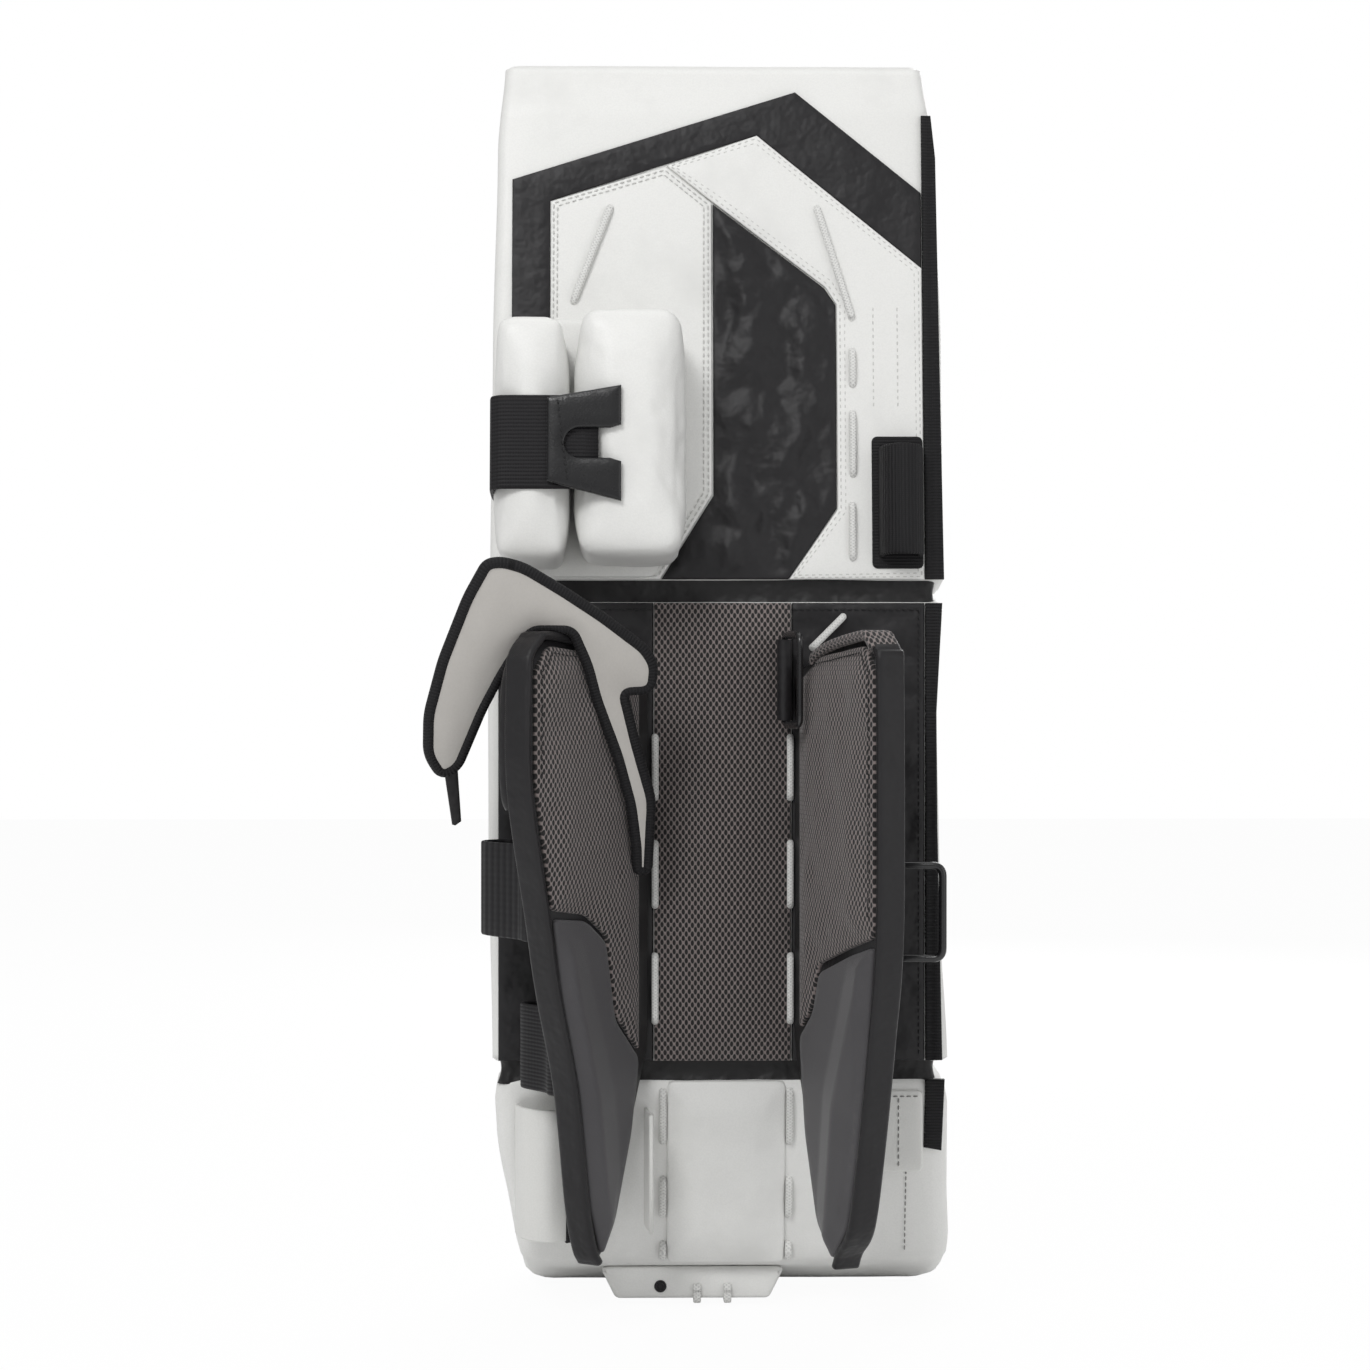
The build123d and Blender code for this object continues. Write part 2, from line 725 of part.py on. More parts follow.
def wing(name, hinge_x, splay, side, free_edge, guard_line):
    """Foam, mesh liner, moulded guard and edge binding of one calf wing."""
    half = WING_FOAM / 2

    def at(depth):
        return wing_plane(hinge_x, splay, side, depth)

    with BuildPart() as foam:
        with BuildSketch(at(-half)):
            with BuildLine():
                Polyline(*wing_outline(free_edge), close=True)
            make_face()
        extrude(amount=side * WING_FOAM)
        with BuildSketch(Plane(origin=(hinge_x, HINGE_Y, ROOT_LOW), z_dir=(0, 0, 1))):
            Circle(half)
        extrude(amount=ROOT_HIGH - ROOT_LOW)
    save(foam, f"{name}_foam")
    with BuildPart() as liner:
        with BuildSketch(at(half)):
            with BuildLine():
                Polyline(*wing_outline(free_edge, -3.0), close=True)
            make_face()
            with BuildLine():
                Polyline((WING_LENGTH + 20.0, 260.0), *guard_line, (-20.0, 0), (160.0, 0), close=True)
            make_face(mode=Mode.SUBTRACT)
            with Locations((SKIN_START - 50.0, 250.0)):
                Rectangle(100.0, 600.0, mode=Mode.SUBTRACT)
        extrude(amount=side * WING_SKIN)
    save(liner, f"{name}_liner")
    with BuildPart() as guard:
        with BuildSketch(at(half)):
            with BuildLine():
                Polyline(*wing_outline(free_edge, -1.0), close=True)
            make_face()
            with BuildLine():
                Polyline(
                    (WING_LENGTH + 20.0, 259.6),
                    *[(x, y - 0.6) for x, y in guard_line],
                    (-20.0, 500.0),
                    (160.0, 500.0),
                    close=True,
                )
            make_face(mode=Mode.SUBTRACT)
            with Locations((SKIN_START - 50.0, 250.0)):
                Rectangle(100.0, 600.0, mode=Mode.SUBTRACT)
        extrude(amount=side * (WING_SKIN + 1.0))
    save(guard, f"{name}_guard")
    with BuildPart() as binding:
        with BuildSketch(at(-half - 1.0)):
            with BuildLine():
                Polyline(*wing_outline(free_edge, WING_BAND), close=True)
            make_face()
            with BuildLine():
                Polyline(*wing_outline(free_edge, FIT), close=True)
            make_face(mode=Mode.SUBTRACT)
            with Locations((BINDING_START - 50.0, 250.0)):
                Rectangle(100.0, 600.0, mode=Mode.SUBTRACT)
        extrude(amount=side * (WING_FOAM + WING_SKIN + 1.0))
    save(binding, f"{name}_binding")


wing("medial_wing", MEDIAL_HINGE_X, MEDIAL_SPLAY, -1, MEDIAL_EDGE, MEDIAL_GUARD)
wing("lateral_wing", LATERAL_HINGE_X, LATERAL_SPLAY, 1, LATERAL_EDGE, LATERAL_GUARD)


# Two elastic straps are sewn to the medial wing's outer face. Each is a flat loop that leaves the
# free edge, turns outwards and comes back to the wing.
def wing_loop(name, low, high, start, reach, rise):
    """start is where the loop leaves the wing, reach how far out it bows and rise how far along
    the wing it comes back."""
    with BuildPart() as made:
        turn = radians(MEDIAL_SPLAY)
        plane = Plane(
            origin=(MEDIAL_HINGE_X, HINGE_Y, low),
            x_dir=(-sin(turn), -cos(turn), 0),
            z_dir=(0, 0, 1),
        )
        out = -(WING_FOAM / 2 + FIT + STRAP_THICK / 2)
        with BuildSketch(plane):
            with BuildLine():
                path = Polyline(
                    (start, out),
                    (start - 6.0, out - 8.0),
                    (start - rise * 0.35, out - reach),
                    (start - rise * 0.8, out - reach * 0.9),
                    (start - rise, out),
                )
            trace(path, line_width=STRAP_THICK)
        extrude(amount=high - low)
    save(made, name)


wing_loop("calf_strap_upper", 238.0, 294.0, 97.0, 50.0, 62.0)
wing_loop("calf_strap_lower", 145.0, 196.0, 70.0, 36.0, 44.0)

# ---- Knee wrap: a lined sheet that rises inside the medial wing and hangs down outside it -------------
# The sheet lies on a plane that comes rearward as it rises. Its root is sewn to the foot of the wing
# and its flap folds rearward about the line over the top of the wing.
WRAP_START = (-47.0, 14.0, 280.0)
WRAP_SWEEP, WRAP_RISE = 0.19, 0.368  # how much the plane moves in Y along X and along Z
WRAP_SPLAY = 32.0  # the medial wing's splay that the outline below is drawn for
drawn_plane = Plane(
    origin=WRAP_START, x_dir=(1, WRAP_SWEEP, 0), z_dir=(WRAP_SWEEP, -1, -WRAP_RISE)
)
hinge_foot = Location((MEDIAL_HINGE_X, HINGE_Y, 0))
wrap_turn = hinge_foot * Location((0, 0, 0), (0, 0, WRAP_SPLAY - MEDIAL_SPLAY)) * hinge_foot.inverse()
wrap_plane = Plane(wrap_turn * drawn_plane.location)
FOLD_LOW, FOLD_HIGH = (-112.0, 421.0), (-128.0, 458.0)  # the fold line, in X and Z
TAIL_WIDTH, TAIL_DROP = 9.0, 34.0


def on_wrap(points, shift=0.0):
    """Points given in X and Z, taken along Y to the wrap's plane, in that plane's own axes."""
    placed = []
    for x, z in points:
        y = WRAP_START[1] + WRAP_SWEEP * (x - WRAP_START[0]) - WRAP_RISE * (z - WRAP_START[2])
        local = drawn_plane.to_local_coords(Vector(x, y, z))
        placed.append((local.X + shift, local.Y))
    return placed


save(
    slab(
        wrap_plane,
        [
            *on_wrap([FOLD_HIGH, FOLD_LOW], FIT),
            *on_wrap(
                [
                    (-88.0, 421.0),
                    (-79.0, 400.0),
                    (-74.0, 380.0),
                    (-62.0, 347.0),
                    (-54.0, 317.0),
                    (-50.8, 290.0),
                    (-50.8, 277.0),
                    (-45.0, 277.0),
                    (-43.0, 320.0),
                    (-52.0, 352.0),
                    (-60.0, 385.0),
                    (-43.0, 386.0),
                    (-41.6, 400.0),
                    (-47.0, 409.0),
                    (-71.0, 427.0),
                    (-94.0, 442.0),
                    (-116.0, 455.0),
                ]
            ),
        ],
        -WRAP_THICK,
    ),
    "knee_wrap_root",
)
save(
    slab(
        wrap_plane,
        [
            *on_wrap([FOLD_LOW, FOLD_HIGH], -FIT),
            *on_wrap(
                [
                    (-136.0, 457.0),
                    (-147.0, 438.0),
                    (-162.0, 402.0),
                    (-171.0, 371.0),
                    (-172.0, 348.0),
                    (-165.0, 336.0),
                    (-156.0, 341.0),
                    (-141.5, 374.0),
                    (-130.0, 395.0),
                    (-121.0, 409.0),
                ]
            ),
        ],
        -WRAP_THICK,
    ),
    "knee_wrap_flap",
)
save(
    slab(
        wrap_plane.offset(-WRAP_THICK - FIT),
        on_wrap(
            [
                (-156.0 - TAIL_WIDTH, 352.0),
                (-156.0, 356.0),
                (-154.0, 340.0 - TAIL_DROP),
                (-154.0 - TAIL_WIDTH * 0.6, 338.0 - TAIL_DROP),
            ]
        ),
        -2.0,
    ),
    "knee_wrap_tail",
)


# ---- Buckles: moulded frames, each turning on its upright bar in a webbing loop -------------------------
def buckle(name, pivot, swing, low):
    """A rectangular frame whose bar is at pivot, with its body at the angle swing from +X."""
    turn = radians(swing)
    along = Vector(cos(turn), sin(turn), 0)
    plane = Plane(origin=(*pivot, low), x_dir=along, z_dir=along.cross(Vector(0, 0, 1)))
    with BuildPart() as frame:
        with BuildSketch(plane):
            with Locations((BUCKLE_WIDTH / 2, BUCKLE_HEIGHT / 2)):
                RectangleRounded(BUCKLE_WIDTH + BUCKLE_BAR, BUCKLE_HEIGHT, 2.0)
                Rectangle(
                    BUCKLE_WIDTH - BUCKLE_BAR, BUCKLE_HEIGHT - 2 * BUCKLE_BAR, mode=Mode.SUBTRACT
                )
        extrude(amount=BUCKLE_BAR / 2, both=True)
    save(frame, name)


def webbing(name, pivot, swing, low, anchor_length):
    """The webbing loop that holds a buckle's bar: a sleeve round the bar and a doubled tail."""
    turn = radians(swing)
    along = Vector(cos(turn), sin(turn), 0)
    height = BUCKLE_HEIGHT - 2 * BUCKLE_BAR - 1.0
    inner = hypot(BUCKLE_BAR, BUCKLE_BAR) / 2 + FIT
    plane = Plane(origin=(*pivot, low + BUCKLE_BAR + 0.5), x_dir=along, z_dir=(0, 0, 1))
    with BuildPart() as made:
        with BuildSketch(plane):
            Circle(inner + WEBBING_THICK)
            with Locations((anchor_length / 2, 0)):
                Rectangle(anchor_length, 2 * WEBBING_THICK)
            Circle(inner, mode=Mode.SUBTRACT)
        extrude(amount=height)
    save(made, name)


PANEL_Y = MID_Y - BACK_OUT - BINDING_THICK  # rear face of the side panels
CALF_BUCKLE_LOW, CALF_BUCKLE_SWING = 361.0, -75.0
CALF_BUCKLE_OUT = 16.0  # how far the bar is behind the side panels
calf_pivot = (LINER_RIGHT - 5.0, PANEL_Y - CALF_BUCKLE_OUT)
buckle("calf_buckle", calf_pivot, CALF_BUCKLE_SWING, CALF_BUCKLE_LOW)
webbing("calf_buckle_webbing", calf_pivot, 90.0, CALF_BUCKLE_LOW, CALF_BUCKLE_OUT - 3.0 - 2 * FIT)
WING_OUT = Vector(cos(radians(LATERAL_SPLAY)), sin(radians(LATERAL_SPLAY)), 0)
wing_grip = wing_plane(LATERAL_HINGE_X, LATERAL_SPLAY, 1, -WING_FOAM / 2).from_local_coords(
    Vector(84.0, 0, 0)
)
BUCKLE_REACH = 12.0
WING_BUCKLE_LOW, WING_BUCKLE_SWING = 226.0, -10.0
wing_pivot = (
    wing_grip.X + WING_OUT.X * BUCKLE_REACH,
    wing_grip.Y + WING_OUT.Y * BUCKLE_REACH,
)
buckle("wing_buckle", wing_pivot, WING_BUCKLE_SWING, WING_BUCKLE_LOW)
webbing(
    "wing_buckle_webbing",
    wing_pivot,
    180.0 + LATERAL_SPLAY,
    WING_BUCKLE_LOW,
    BUCKLE_REACH - FIT,
)

# ---- Boot: back panel, puffed middle panel, laces, strap and tabs ------------------------------------------
BOOT_TOP = ANKLE_Z - THIGH_FOOT
BOOT_TILT = atan2(BOOT_SLOPE, ANKLE_Z - BREAK_GAP - SIDE_DROP - SOLE_REAR_Z)


def boot_at(depth):
    """Plane parallel to the boot's sloping rear: y runs up the slope from the sole's rear edge."""
    foot = Plane(
        origin=(0, REAR_Y + BOOT_SLOPE, SOLE_REAR_Z),
        x_dir=(1, 0, 0),
        z_dir=(0, -cos(BOOT_TILT), -sin(BOOT_TILT)),
    )
    return foot.offset(depth)


BOOT_RISE = (BOOT_TOP - SOLE_REAR_Z) / cos(BOOT_TILT)
save(
    slab(
        boot_at(0),
        [
            (BOOT_MEDIAL + 1.0, 0),
            (BOOT_LATERAL - 2.0, 0),
            (HALF_WIDTH, BOOT_RISE),
            (-HALF_WIDTH, BOOT_RISE),
        ],
        BACK,
    ),
    "boot_back",
)
BOOT_PANEL_LEFT, BOOT_PANEL_RIGHT = -32.0, 41.0
save(
    block(
        boot_at(BACK),
        box_points(BOOT_PANEL_LEFT, BOOT_PANEL_RIGHT, 1.0, BOOT_RISE - 1.0),
        5.0,
        6.0,
        4.0,
    ),
    "boot_panel",
)
BOOT_LACE_HEIGHTS = [(118.0, 80.0), (60.0, 32.0), (17.0, 4.0)]
for side_name, lace_x in (
    ("medial", BOOT_PANEL_LEFT - LACE_RADIUS - FIT),
    ("lateral", BOOT_PANEL_RIGHT + LACE_RADIUS + FIT),
):
    laces(
        boot_at(BACK + FIT),
        [(lace_x, high - 4.0, lace_x, low) for high, low in BOOT_LACE_HEIGHTS],
        f"boot_lacing_{side_name}",
    )
save(
    slab(
        boot_at(BACK),
        box_points(HALF_WIDTH - BINDING_WIDTH, HALF_WIDTH, BOOT_RISE - 44.0, BOOT_RISE),
        BINDING_THICK,
    ),
    "boot_edge_binding",
)


# The boot strap and the two tabs are flaps whose rounded roots turn just off the boot's back.
def upright_flap(name, root, low, high, path, thick):
    """A flap that turns about an upright line at root. path runs on from the root, in X and Y."""
    with BuildPart() as made:
        with BuildSketch(Plane(origin=(*root, low), z_dir=(0, 0, 1))):
            with BuildLine():
                line = Polyline((0, 0), *path)
            trace(line, line_width=thick)
            Circle(thick / 2)
        extrude(amount=high - low)
    save(made, name)


FLAP_THICK = 3.0
STRAP_ROOT = (-124.0, REAR_Y - 1.0)
upright_flap(
    "boot_strap",
    STRAP_ROOT,
    50.0,
    131.0,
    [(6.0, -18.0), (20.0, -28.0), (34.0, -22.0)],
    FLAP_THICK,
)
TAB_ROOT = (-45.0, REAR_Y - 0.4)
upright_flap("boot_tab_medial", TAB_ROOT, 55.0, 128.0, [(3.0, -30.0)], FLAP_THICK)

TAB_Z, TAB_Y = 137.0, REAR_Y - 2.7
FOLDED_WIDTH, FOLDED_DROP, FOLDED_THICK = 30.0, 50.0, 2.6
FOLDED_ROLL = 2.0  # radius of its folded top edge
tab_left = HALF_WIDTH - BINDING_WIDTH - FOLDED_WIDTH - 1.5
with BuildPart() as boot_tab_lateral:
    with BuildSketch(Plane(origin=(tab_left, TAB_Y, TAB_Z), x_dir=(0, 1, 0), z_dir=(1, 0, 0))):
        Circle(FOLDED_ROLL)
        with Locations((0, -FOLDED_DROP / 2)):
            Rectangle(FOLDED_THICK, FOLDED_DROP)
    extrude(amount=FOLDED_WIDTH)
save(boot_tab_lateral, "boot_tab_lateral")

# ---- Toe bridge: a padded tab that hangs under the boot and ties to the skate's toe -------------------------
BRIDGE_X, BRIDGE_HALF_TOP, BRIDGE_HALF_LOW = -16.0, 58.0, 48.0
BRIDGE_THICK = 8.0
BRIDGE_Y = REAR_Y + 36.0  # front face of the hanging tab
BRIDGE_TOP, BRIDGE_LOW = 22.8, 3.1
EYELET_RADIUS, EYELET_Z = 2.5, 11.0
FREE_EYELET_X = -36.0
LACED_EYELETS_X = [-13.0, 6.0]
TOE_LACE_WIDTH, TOE_LACE_THICK = 4.0, 2.8
with BuildPart() as toe_bridge_pad:
    with BuildSketch(Plane(origin=(0, BRIDGE_Y, 0), x_dir=(1, 0, 0), z_dir=(0, -1, 0))):
        with BuildLine():
            Polyline(
                (BRIDGE_X - BRIDGE_HALF_LOW, BRIDGE_LOW),
                (BRIDGE_X + BRIDGE_HALF_LOW, BRIDGE_LOW),
                (BRIDGE_X + BRIDGE_HALF_TOP, BRIDGE_TOP),
                (BRIDGE_X - BRIDGE_HALF_TOP, BRIDGE_TOP),
                close=True,
            )
        make_face()
        with Locations(*[(x, EYELET_Z) for x in [FREE_EYELET_X, *LACED_EYELETS_X]]):
            Circle(EYELET_RADIUS, mode=Mode.SUBTRACT)
    extrude(amount=BRIDGE_THICK)
    fillet(toe_bridge_pad.edges().filter_by(Axis.X).group_by(Axis.Z)[-1], BRIDGE_THICK / 2 - 0.1)
save(toe_bridge_pad, "toe_bridge_pad")

# Each toe lace loops through its eyelet and under the tab's lower edge.
loop_height = EYELET_Z + TOE_LACE_THICK / 2
loop_depth = BRIDGE_THICK + 2 * (FIT + TOE_LACE_THICK)
with BuildPart() as toe_laces:
    for eyelet_x in LACED_EYELETS_X:
        corner = (eyelet_x - TOE_LACE_WIDTH / 2, BRIDGE_Y - BRIDGE_THICK / 2, loop_height / 2)
        with BuildSketch(Plane(origin=corner, x_dir=(0, 1, 0), z_dir=(1, 0, 0))):
            RectangleRounded(loop_depth, loop_height, TOE_LACE_THICK)
            Rectangle(
                loop_depth - 2 * TOE_LACE_THICK,
                loop_height - 2 * TOE_LACE_THICK,
                mode=Mode.SUBTRACT,
            )
        extrude(amount=TOE_LACE_WIDTH)
save(toe_laces, "toe_laces")
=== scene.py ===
"""Goalie leg pad for the right leg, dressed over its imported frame.

+Y is forward, away from the leg, +X is the outer side and Z is up. Lengths are metres; MM turns a
size in millimetres into metres.
"""

from math import atan2, cos, hypot, pi, radians, sin, tan

import bmesh
import bpy
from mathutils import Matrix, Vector, geometry, noise


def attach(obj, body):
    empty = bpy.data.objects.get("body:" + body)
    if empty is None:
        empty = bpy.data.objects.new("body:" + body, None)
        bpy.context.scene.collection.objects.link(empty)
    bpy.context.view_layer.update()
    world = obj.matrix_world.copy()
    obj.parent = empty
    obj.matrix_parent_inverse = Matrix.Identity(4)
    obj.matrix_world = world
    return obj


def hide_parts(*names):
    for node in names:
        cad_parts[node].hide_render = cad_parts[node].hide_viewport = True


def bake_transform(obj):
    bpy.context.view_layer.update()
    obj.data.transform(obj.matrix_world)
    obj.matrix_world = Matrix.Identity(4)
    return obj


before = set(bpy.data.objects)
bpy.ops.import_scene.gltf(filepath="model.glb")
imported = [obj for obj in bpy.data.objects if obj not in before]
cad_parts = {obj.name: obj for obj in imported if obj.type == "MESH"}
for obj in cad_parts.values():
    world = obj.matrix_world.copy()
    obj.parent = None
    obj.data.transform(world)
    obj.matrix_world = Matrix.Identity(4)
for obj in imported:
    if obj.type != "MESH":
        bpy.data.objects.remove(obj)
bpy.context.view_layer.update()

MM = 0.001

# ---- Body sections -----------------------------------------------------------------------------
# The pad's body is three foam sections in smooth coated leather, sewn over the front and the sides
# and closed by a flat back. They bend at the knee and the ankle, over soft black gussets.
KNEE_Z, ANKLE_Z = 443.0, 151.0
MID_Y, HALF_THICK = 85.0, 35.0
THIGH_LEAN = radians(5.0)
THIGH_LENGTH = 333.0
BREAK_RELIEF = radians(7.0)
BACK_OUT = HALF_THICK + 2.0
WHITE = (0.83, 0.83, 0.81, 1.0)


class Value:
    """A shader socket. Its operators add Math nodes, so sums are written as in Python."""

    def __init__(self, finish, socket):
        self.finish = finish
        self.socket = socket

    def maths(self, operation, *others):
        ends = {i: end for i, end in enumerate((self, *others))}
        return self.finish.node("ShaderNodeMath", {"operation": operation}, ends)

    def __add__(self, other):
        return self.maths("ADD", other)

    def __sub__(self, other):
        return self.maths("SUBTRACT", other)

    def __rsub__(self, other):
        return self * -1.0 + other

    def __mul__(self, other):
        return self.maths("MULTIPLY", other)

    def __truediv__(self, other):
        return self.maths("DIVIDE", other)

    __radd__ = __add__
    __rmul__ = __mul__

    def above(self, limit, soft):
        """0 below limit and 1 above it, over a soft step."""
        scaled = (self - limit) / soft + 0.5
        return scaled.maths("MAXIMUM", 0.0).maths("MINIMUM", 1.0)


class Finish:
    """A material whose constant values are set on the shader and whose detail comes from nodes."""

    def __init__(self, name, color, roughness, **constants):
        self.material = bpy.data.materials.new(name)
        self.material.use_nodes = True
        self.tree = self.material.node_tree
        self.shader = self.tree.nodes["Principled BSDF"]
        self.color = color
        self.shader.inputs["Base Color"].default_value = color
        self.shader.inputs["Roughness"].default_value = roughness
        for socket, value in constants.items():
            self.shader.inputs[socket.replace("_", " ")].default_value = value
        self.material.diffuse_color = color

    def node(self, kind, settings=None, sockets=None, out=0):
        made = self.tree.nodes.new(kind)
        for setting, value in (settings or {}).items():
            if setting == "stops":
                for stop, (at, shade) in zip(made.color_ramp.elements, value):
                    stop.position = at
                    stop.color = shade
            else:
                setattr(made, setting, value)
        for socket, value in (sockets or {}).items():
            if isinstance(value, Value):
                self.tree.links.new(value.socket, made.inputs[socket])
            else:
                made.inputs[socket].default_value = value
        return Value(self, made.outputs[out])

    def where(self, kind="Object"):
        return self.node("ShaderNodeTexCoord", out=kind)

    def grain(self, scale, detail=2.0, roughness=0.5, where=None, stretch=None):
        """Noise from 0 to 1, with scale cells in a metre."""
        spot = where or self.where()
        if stretch:
            spot = self.node("ShaderNodeMapping", None, {"Vector": spot, "Scale": stretch})
        ends = {"Vector": spot, "Scale": scale, "Detail": detail, "Roughness": roughness}
        return self.node("ShaderNodeTexNoise", None, ends)

    def cells(self, scale, where=None):
        ends = {"Vector": where or self.where(), "Scale": scale}
        return self.node("ShaderNodeTexVoronoi", None, ends)

    def along(self, axis, kind="Object"):
        """One coordinate, in metres."""
        return self.node("ShaderNodeSeparateXYZ", None, {"Vector": self.where(kind)}, axis)

    def mix(self, first, second, amount):
        ends = {0: amount, 6: first, 7: second}
        return self.node("ShaderNodeMix", {"data_type": "RGBA"}, ends, 2)

    def paint(self, color):
        self.tree.links.new(color.socket, self.shader.inputs["Base Color"])

    def dull(self, amount):
        self.tree.links.new(amount.socket, self.shader.inputs["Roughness"])

    def emboss(self, height, depth, strength=1.0):
        """Raises the surface by height, from 0 to 1, times depth in metres."""
        ends = {"Height": height, "Distance": depth, "Strength": strength}
        bump = self.node("ShaderNodeBump", None, ends)
        self.tree.links.new(bump.socket, self.shader.inputs["Normal"])


def leather(name, color, dirt=0.12, gloss=0.42):
    """Coated leather: a fine pebbled grain, soft creases and a little soil."""
    made = Finish(name, color, gloss, Specular_IOR_Level=0.45)
    pebble = made.cells(900.0)
    crease = made.grain(38.0, 5.0, 0.62)
    soil = made.grain(9.0, 6.0, 0.65).above(0.60, 0.16)
    darker = tuple(c * (1.0 - dirt) for c in color[:3]) + (1.0,)
    tone = made.mix(color, darker, soil * 0.8)
    made.paint(made.mix(tone, tuple(c * 0.93 for c in color[:3]) + (1.0,), pebble.above(0.5, 0.6) * 0.5))
    made.dull(crease * 0.16 + (gloss - 0.06))
    made.emboss(pebble * 0.30 + crease * 1.2, 0.00035, 0.55)
    return made


white_leather = leather("white_leather", WHITE)


def woven(name, color, threads, wrinkle=0.6, sheen=0.03, axes=(0, 2), kind="Object"):
    """Plain woven nylon: crossing threads, and folds where it isn't held flat."""
    made = Finish(name, color, 0.5, Sheen_Weight=sheen, Specular_IOR_Level=0.36)
    across = (made.along(axes[0], kind) * (threads * 2 * pi)).maths("SINE")
    down = (made.along(axes[1], kind) * (threads * 2 * pi)).maths("SINE")
    weave = across * down * 0.5 + 0.5
    fold = made.grain(20.0, 4.0, 0.6)
    lighter = tuple(min(c * 1.9 + 0.004, 1.0) for c in color[:3]) + (1.0,)
    made.paint(made.mix(color, lighter, weave * 0.5 + made.grain(55.0, 3.0) * 0.25))
    made.dull(weave * 0.12 + 0.38)
    made.emboss(weave * 0.2 + fold * wrinkle * 16.0, 0.0004, 0.8)
    return made


black_nylon = woven("black_nylon", (0.0080, 0.0074, 0.0084, 1.0), 900.0, 0.9)
gusset_nylon = woven("gusset_nylon", (0.0060, 0.0056, 0.0060, 1.0), 900.0, 1.5)


def finished(made, finish, body, covers=()):
    """Gives a piece its finish, hides the parts it stands for, and says what it rides on."""
    made.data.materials.clear()
    made.data.materials.append(finish.material)
    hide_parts(*covers)
    if body:
        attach(made, body)
    return made


def mesh_piece(name, points, faces, spots=None, smooth=True):
    """A mesh from points in millimetres, with an optional map of places on its surface."""
    data = bpy.data.meshes.new(name)
    data.from_pydata([Vector(p) * MM for p in points], [], faces)
    if spots:
        layer = data.uv_layers.new(name="UVMap")
        for corner in data.loops:
            a, b = spots[corner.vertex_index]
            layer.data[corner.index].uv = (a * MM, b * MM)
    made = bpy.data.objects.new(name, data)
    bpy.context.scene.collection.objects.link(made)
    shape = bmesh.new()
    shape.from_mesh(data)
    bmesh.ops.recalc_face_normals(shape, faces=shape.faces)
    shape.to_mesh(data)
    shape.free()
    if smooth:
        data.shade_smooth()
    return made


def along_table(table, at):
    """A value read from a short table of (place, value) pairs, eased between them."""
    if at <= table[0][0]:
        return table[0][1]
    for (x0, y0), (x1, y1) in zip(table, table[1:]):
        if at <= x1:
            t = (at - x0) / (x1 - x0)
            t = t * t * (3.0 - 2.0 * t)
            return y0 + (y1 - y0) * t
    return table[-1][1]


def thigh_at(x, h, depth):
    """A point on the thigh: h above the knee break, depth behind the middle of the section."""
    y = MID_Y - depth * cos(THIGH_LEAN) + h * sin(THIGH_LEAN)
    return (x, y, KNEE_Z + depth * sin(THIGH_LEAN) + h * cos(THIGH_LEAN))


def shin_at(x, z, depth):
    return (x, MID_Y - depth, z)


def rounded_ring(left, right, rear, front, rear_round, front_round):
    """A closed ring of (x, depth) points round a section, with more points in its corners."""
    ring = []
    corners = (
        (right - rear_round, rear - rear_round, rear_round, 0.0),
        (left + rear_round, rear - rear_round, rear_round, 90.0),
        (left + front_round, -front + front_round, front_round, 180.0),
        (right - front_round, -front + front_round, front_round, 270.0),
    )
    turns, runs = 7, 14
    for i, (cx, cy, r, start) in enumerate(corners):
        for k in range(turns):
            turn = radians(start + 90.0 * k / (turns - 1))
            ring.append((cx + r * cos(turn), cy + r * sin(turn)))
        nx, ny, nr, nstart = corners[(i + 1) % 4]
        turn = radians(nstart)
        goal = (nx + nr * cos(turn), ny + nr * sin(turn))
        here = ring[-1]
        for k in range(1, runs):
            t = k / runs
            ring.append((here[0] + (goal[0] - here[0]) * t, here[1] + (goal[1] - here[1]) * t))
    return ring


def skin(name, place, heights, sides, front_at, rear_at, relief_low, relief_high, rolls=()):
    """The leather skin of a section, lofted through rings. sides is a pair of tables of x against
    height. The ends slope away from the middle by the relief, and rolls are grooves in the front."""
    low, high = heights
    end_round = 3.0
    stations = [(low, 5.0), (low + 0.8, 2.2), (low + end_round, 0.4)]
    count = int((high - low) / 5.0)
    stations += [(low + end_round + (high - low - 2 * end_round) * i / count, 0.0) for i in range(count + 1)]
    stations += [(high - end_round, 0.4), (high - 0.8, 2.2), (high, 5.0)]
    points, faces = [], []
    size = 0
    for h, tuck in stations:
        groove = sum(4.5 * math_bell((h - at) / 5.0) for at in rolls)
        left, right = (along_table(side, h) for side in sides)
        front = front_at(h) - tuck - groove
        ring = rounded_ring(left + tuck, right - tuck, rear_at(h) - tuck, front, 7.0, 16.0)
        size = len(ring)
        for x, depth in ring:
            near_low = max(0.0, 1.0 - (h - low) / 12.0)
            near_high = max(0.0, 1.0 - (high - h) / 12.0)
            shift = abs(depth) * tan(BREAK_RELIEF)
            soft = noise.fractal(Vector((x, h, depth)) * 0.018, 1.0, 2.0, 3) * 0.9
            inward = 1.0 if depth > 0 else -1.0
            rise = shift * (relief_low * near_low - relief_high * near_high)
            points.append(place(x, h + rise, depth + soft * inward * 0.8))
    for i in range(len(stations) - 1):
        for k in range(size):
            n = (k + 1) % size
            a, b = i * size, (i + 1) * size
            faces.append((a + k, a + n, b + n, b + k))
    faces.append(tuple(range(size)))
    last = (len(stations) - 1) * size
    faces.append(tuple(reversed(range(last, last + size))))
    return mesh_piece(name, points, faces)


def math_bell(t):
    """A smooth hump, 1 at 0 and fading past 1."""
    return 1.0 / (1.0 + t * t * t * t * 2.0)


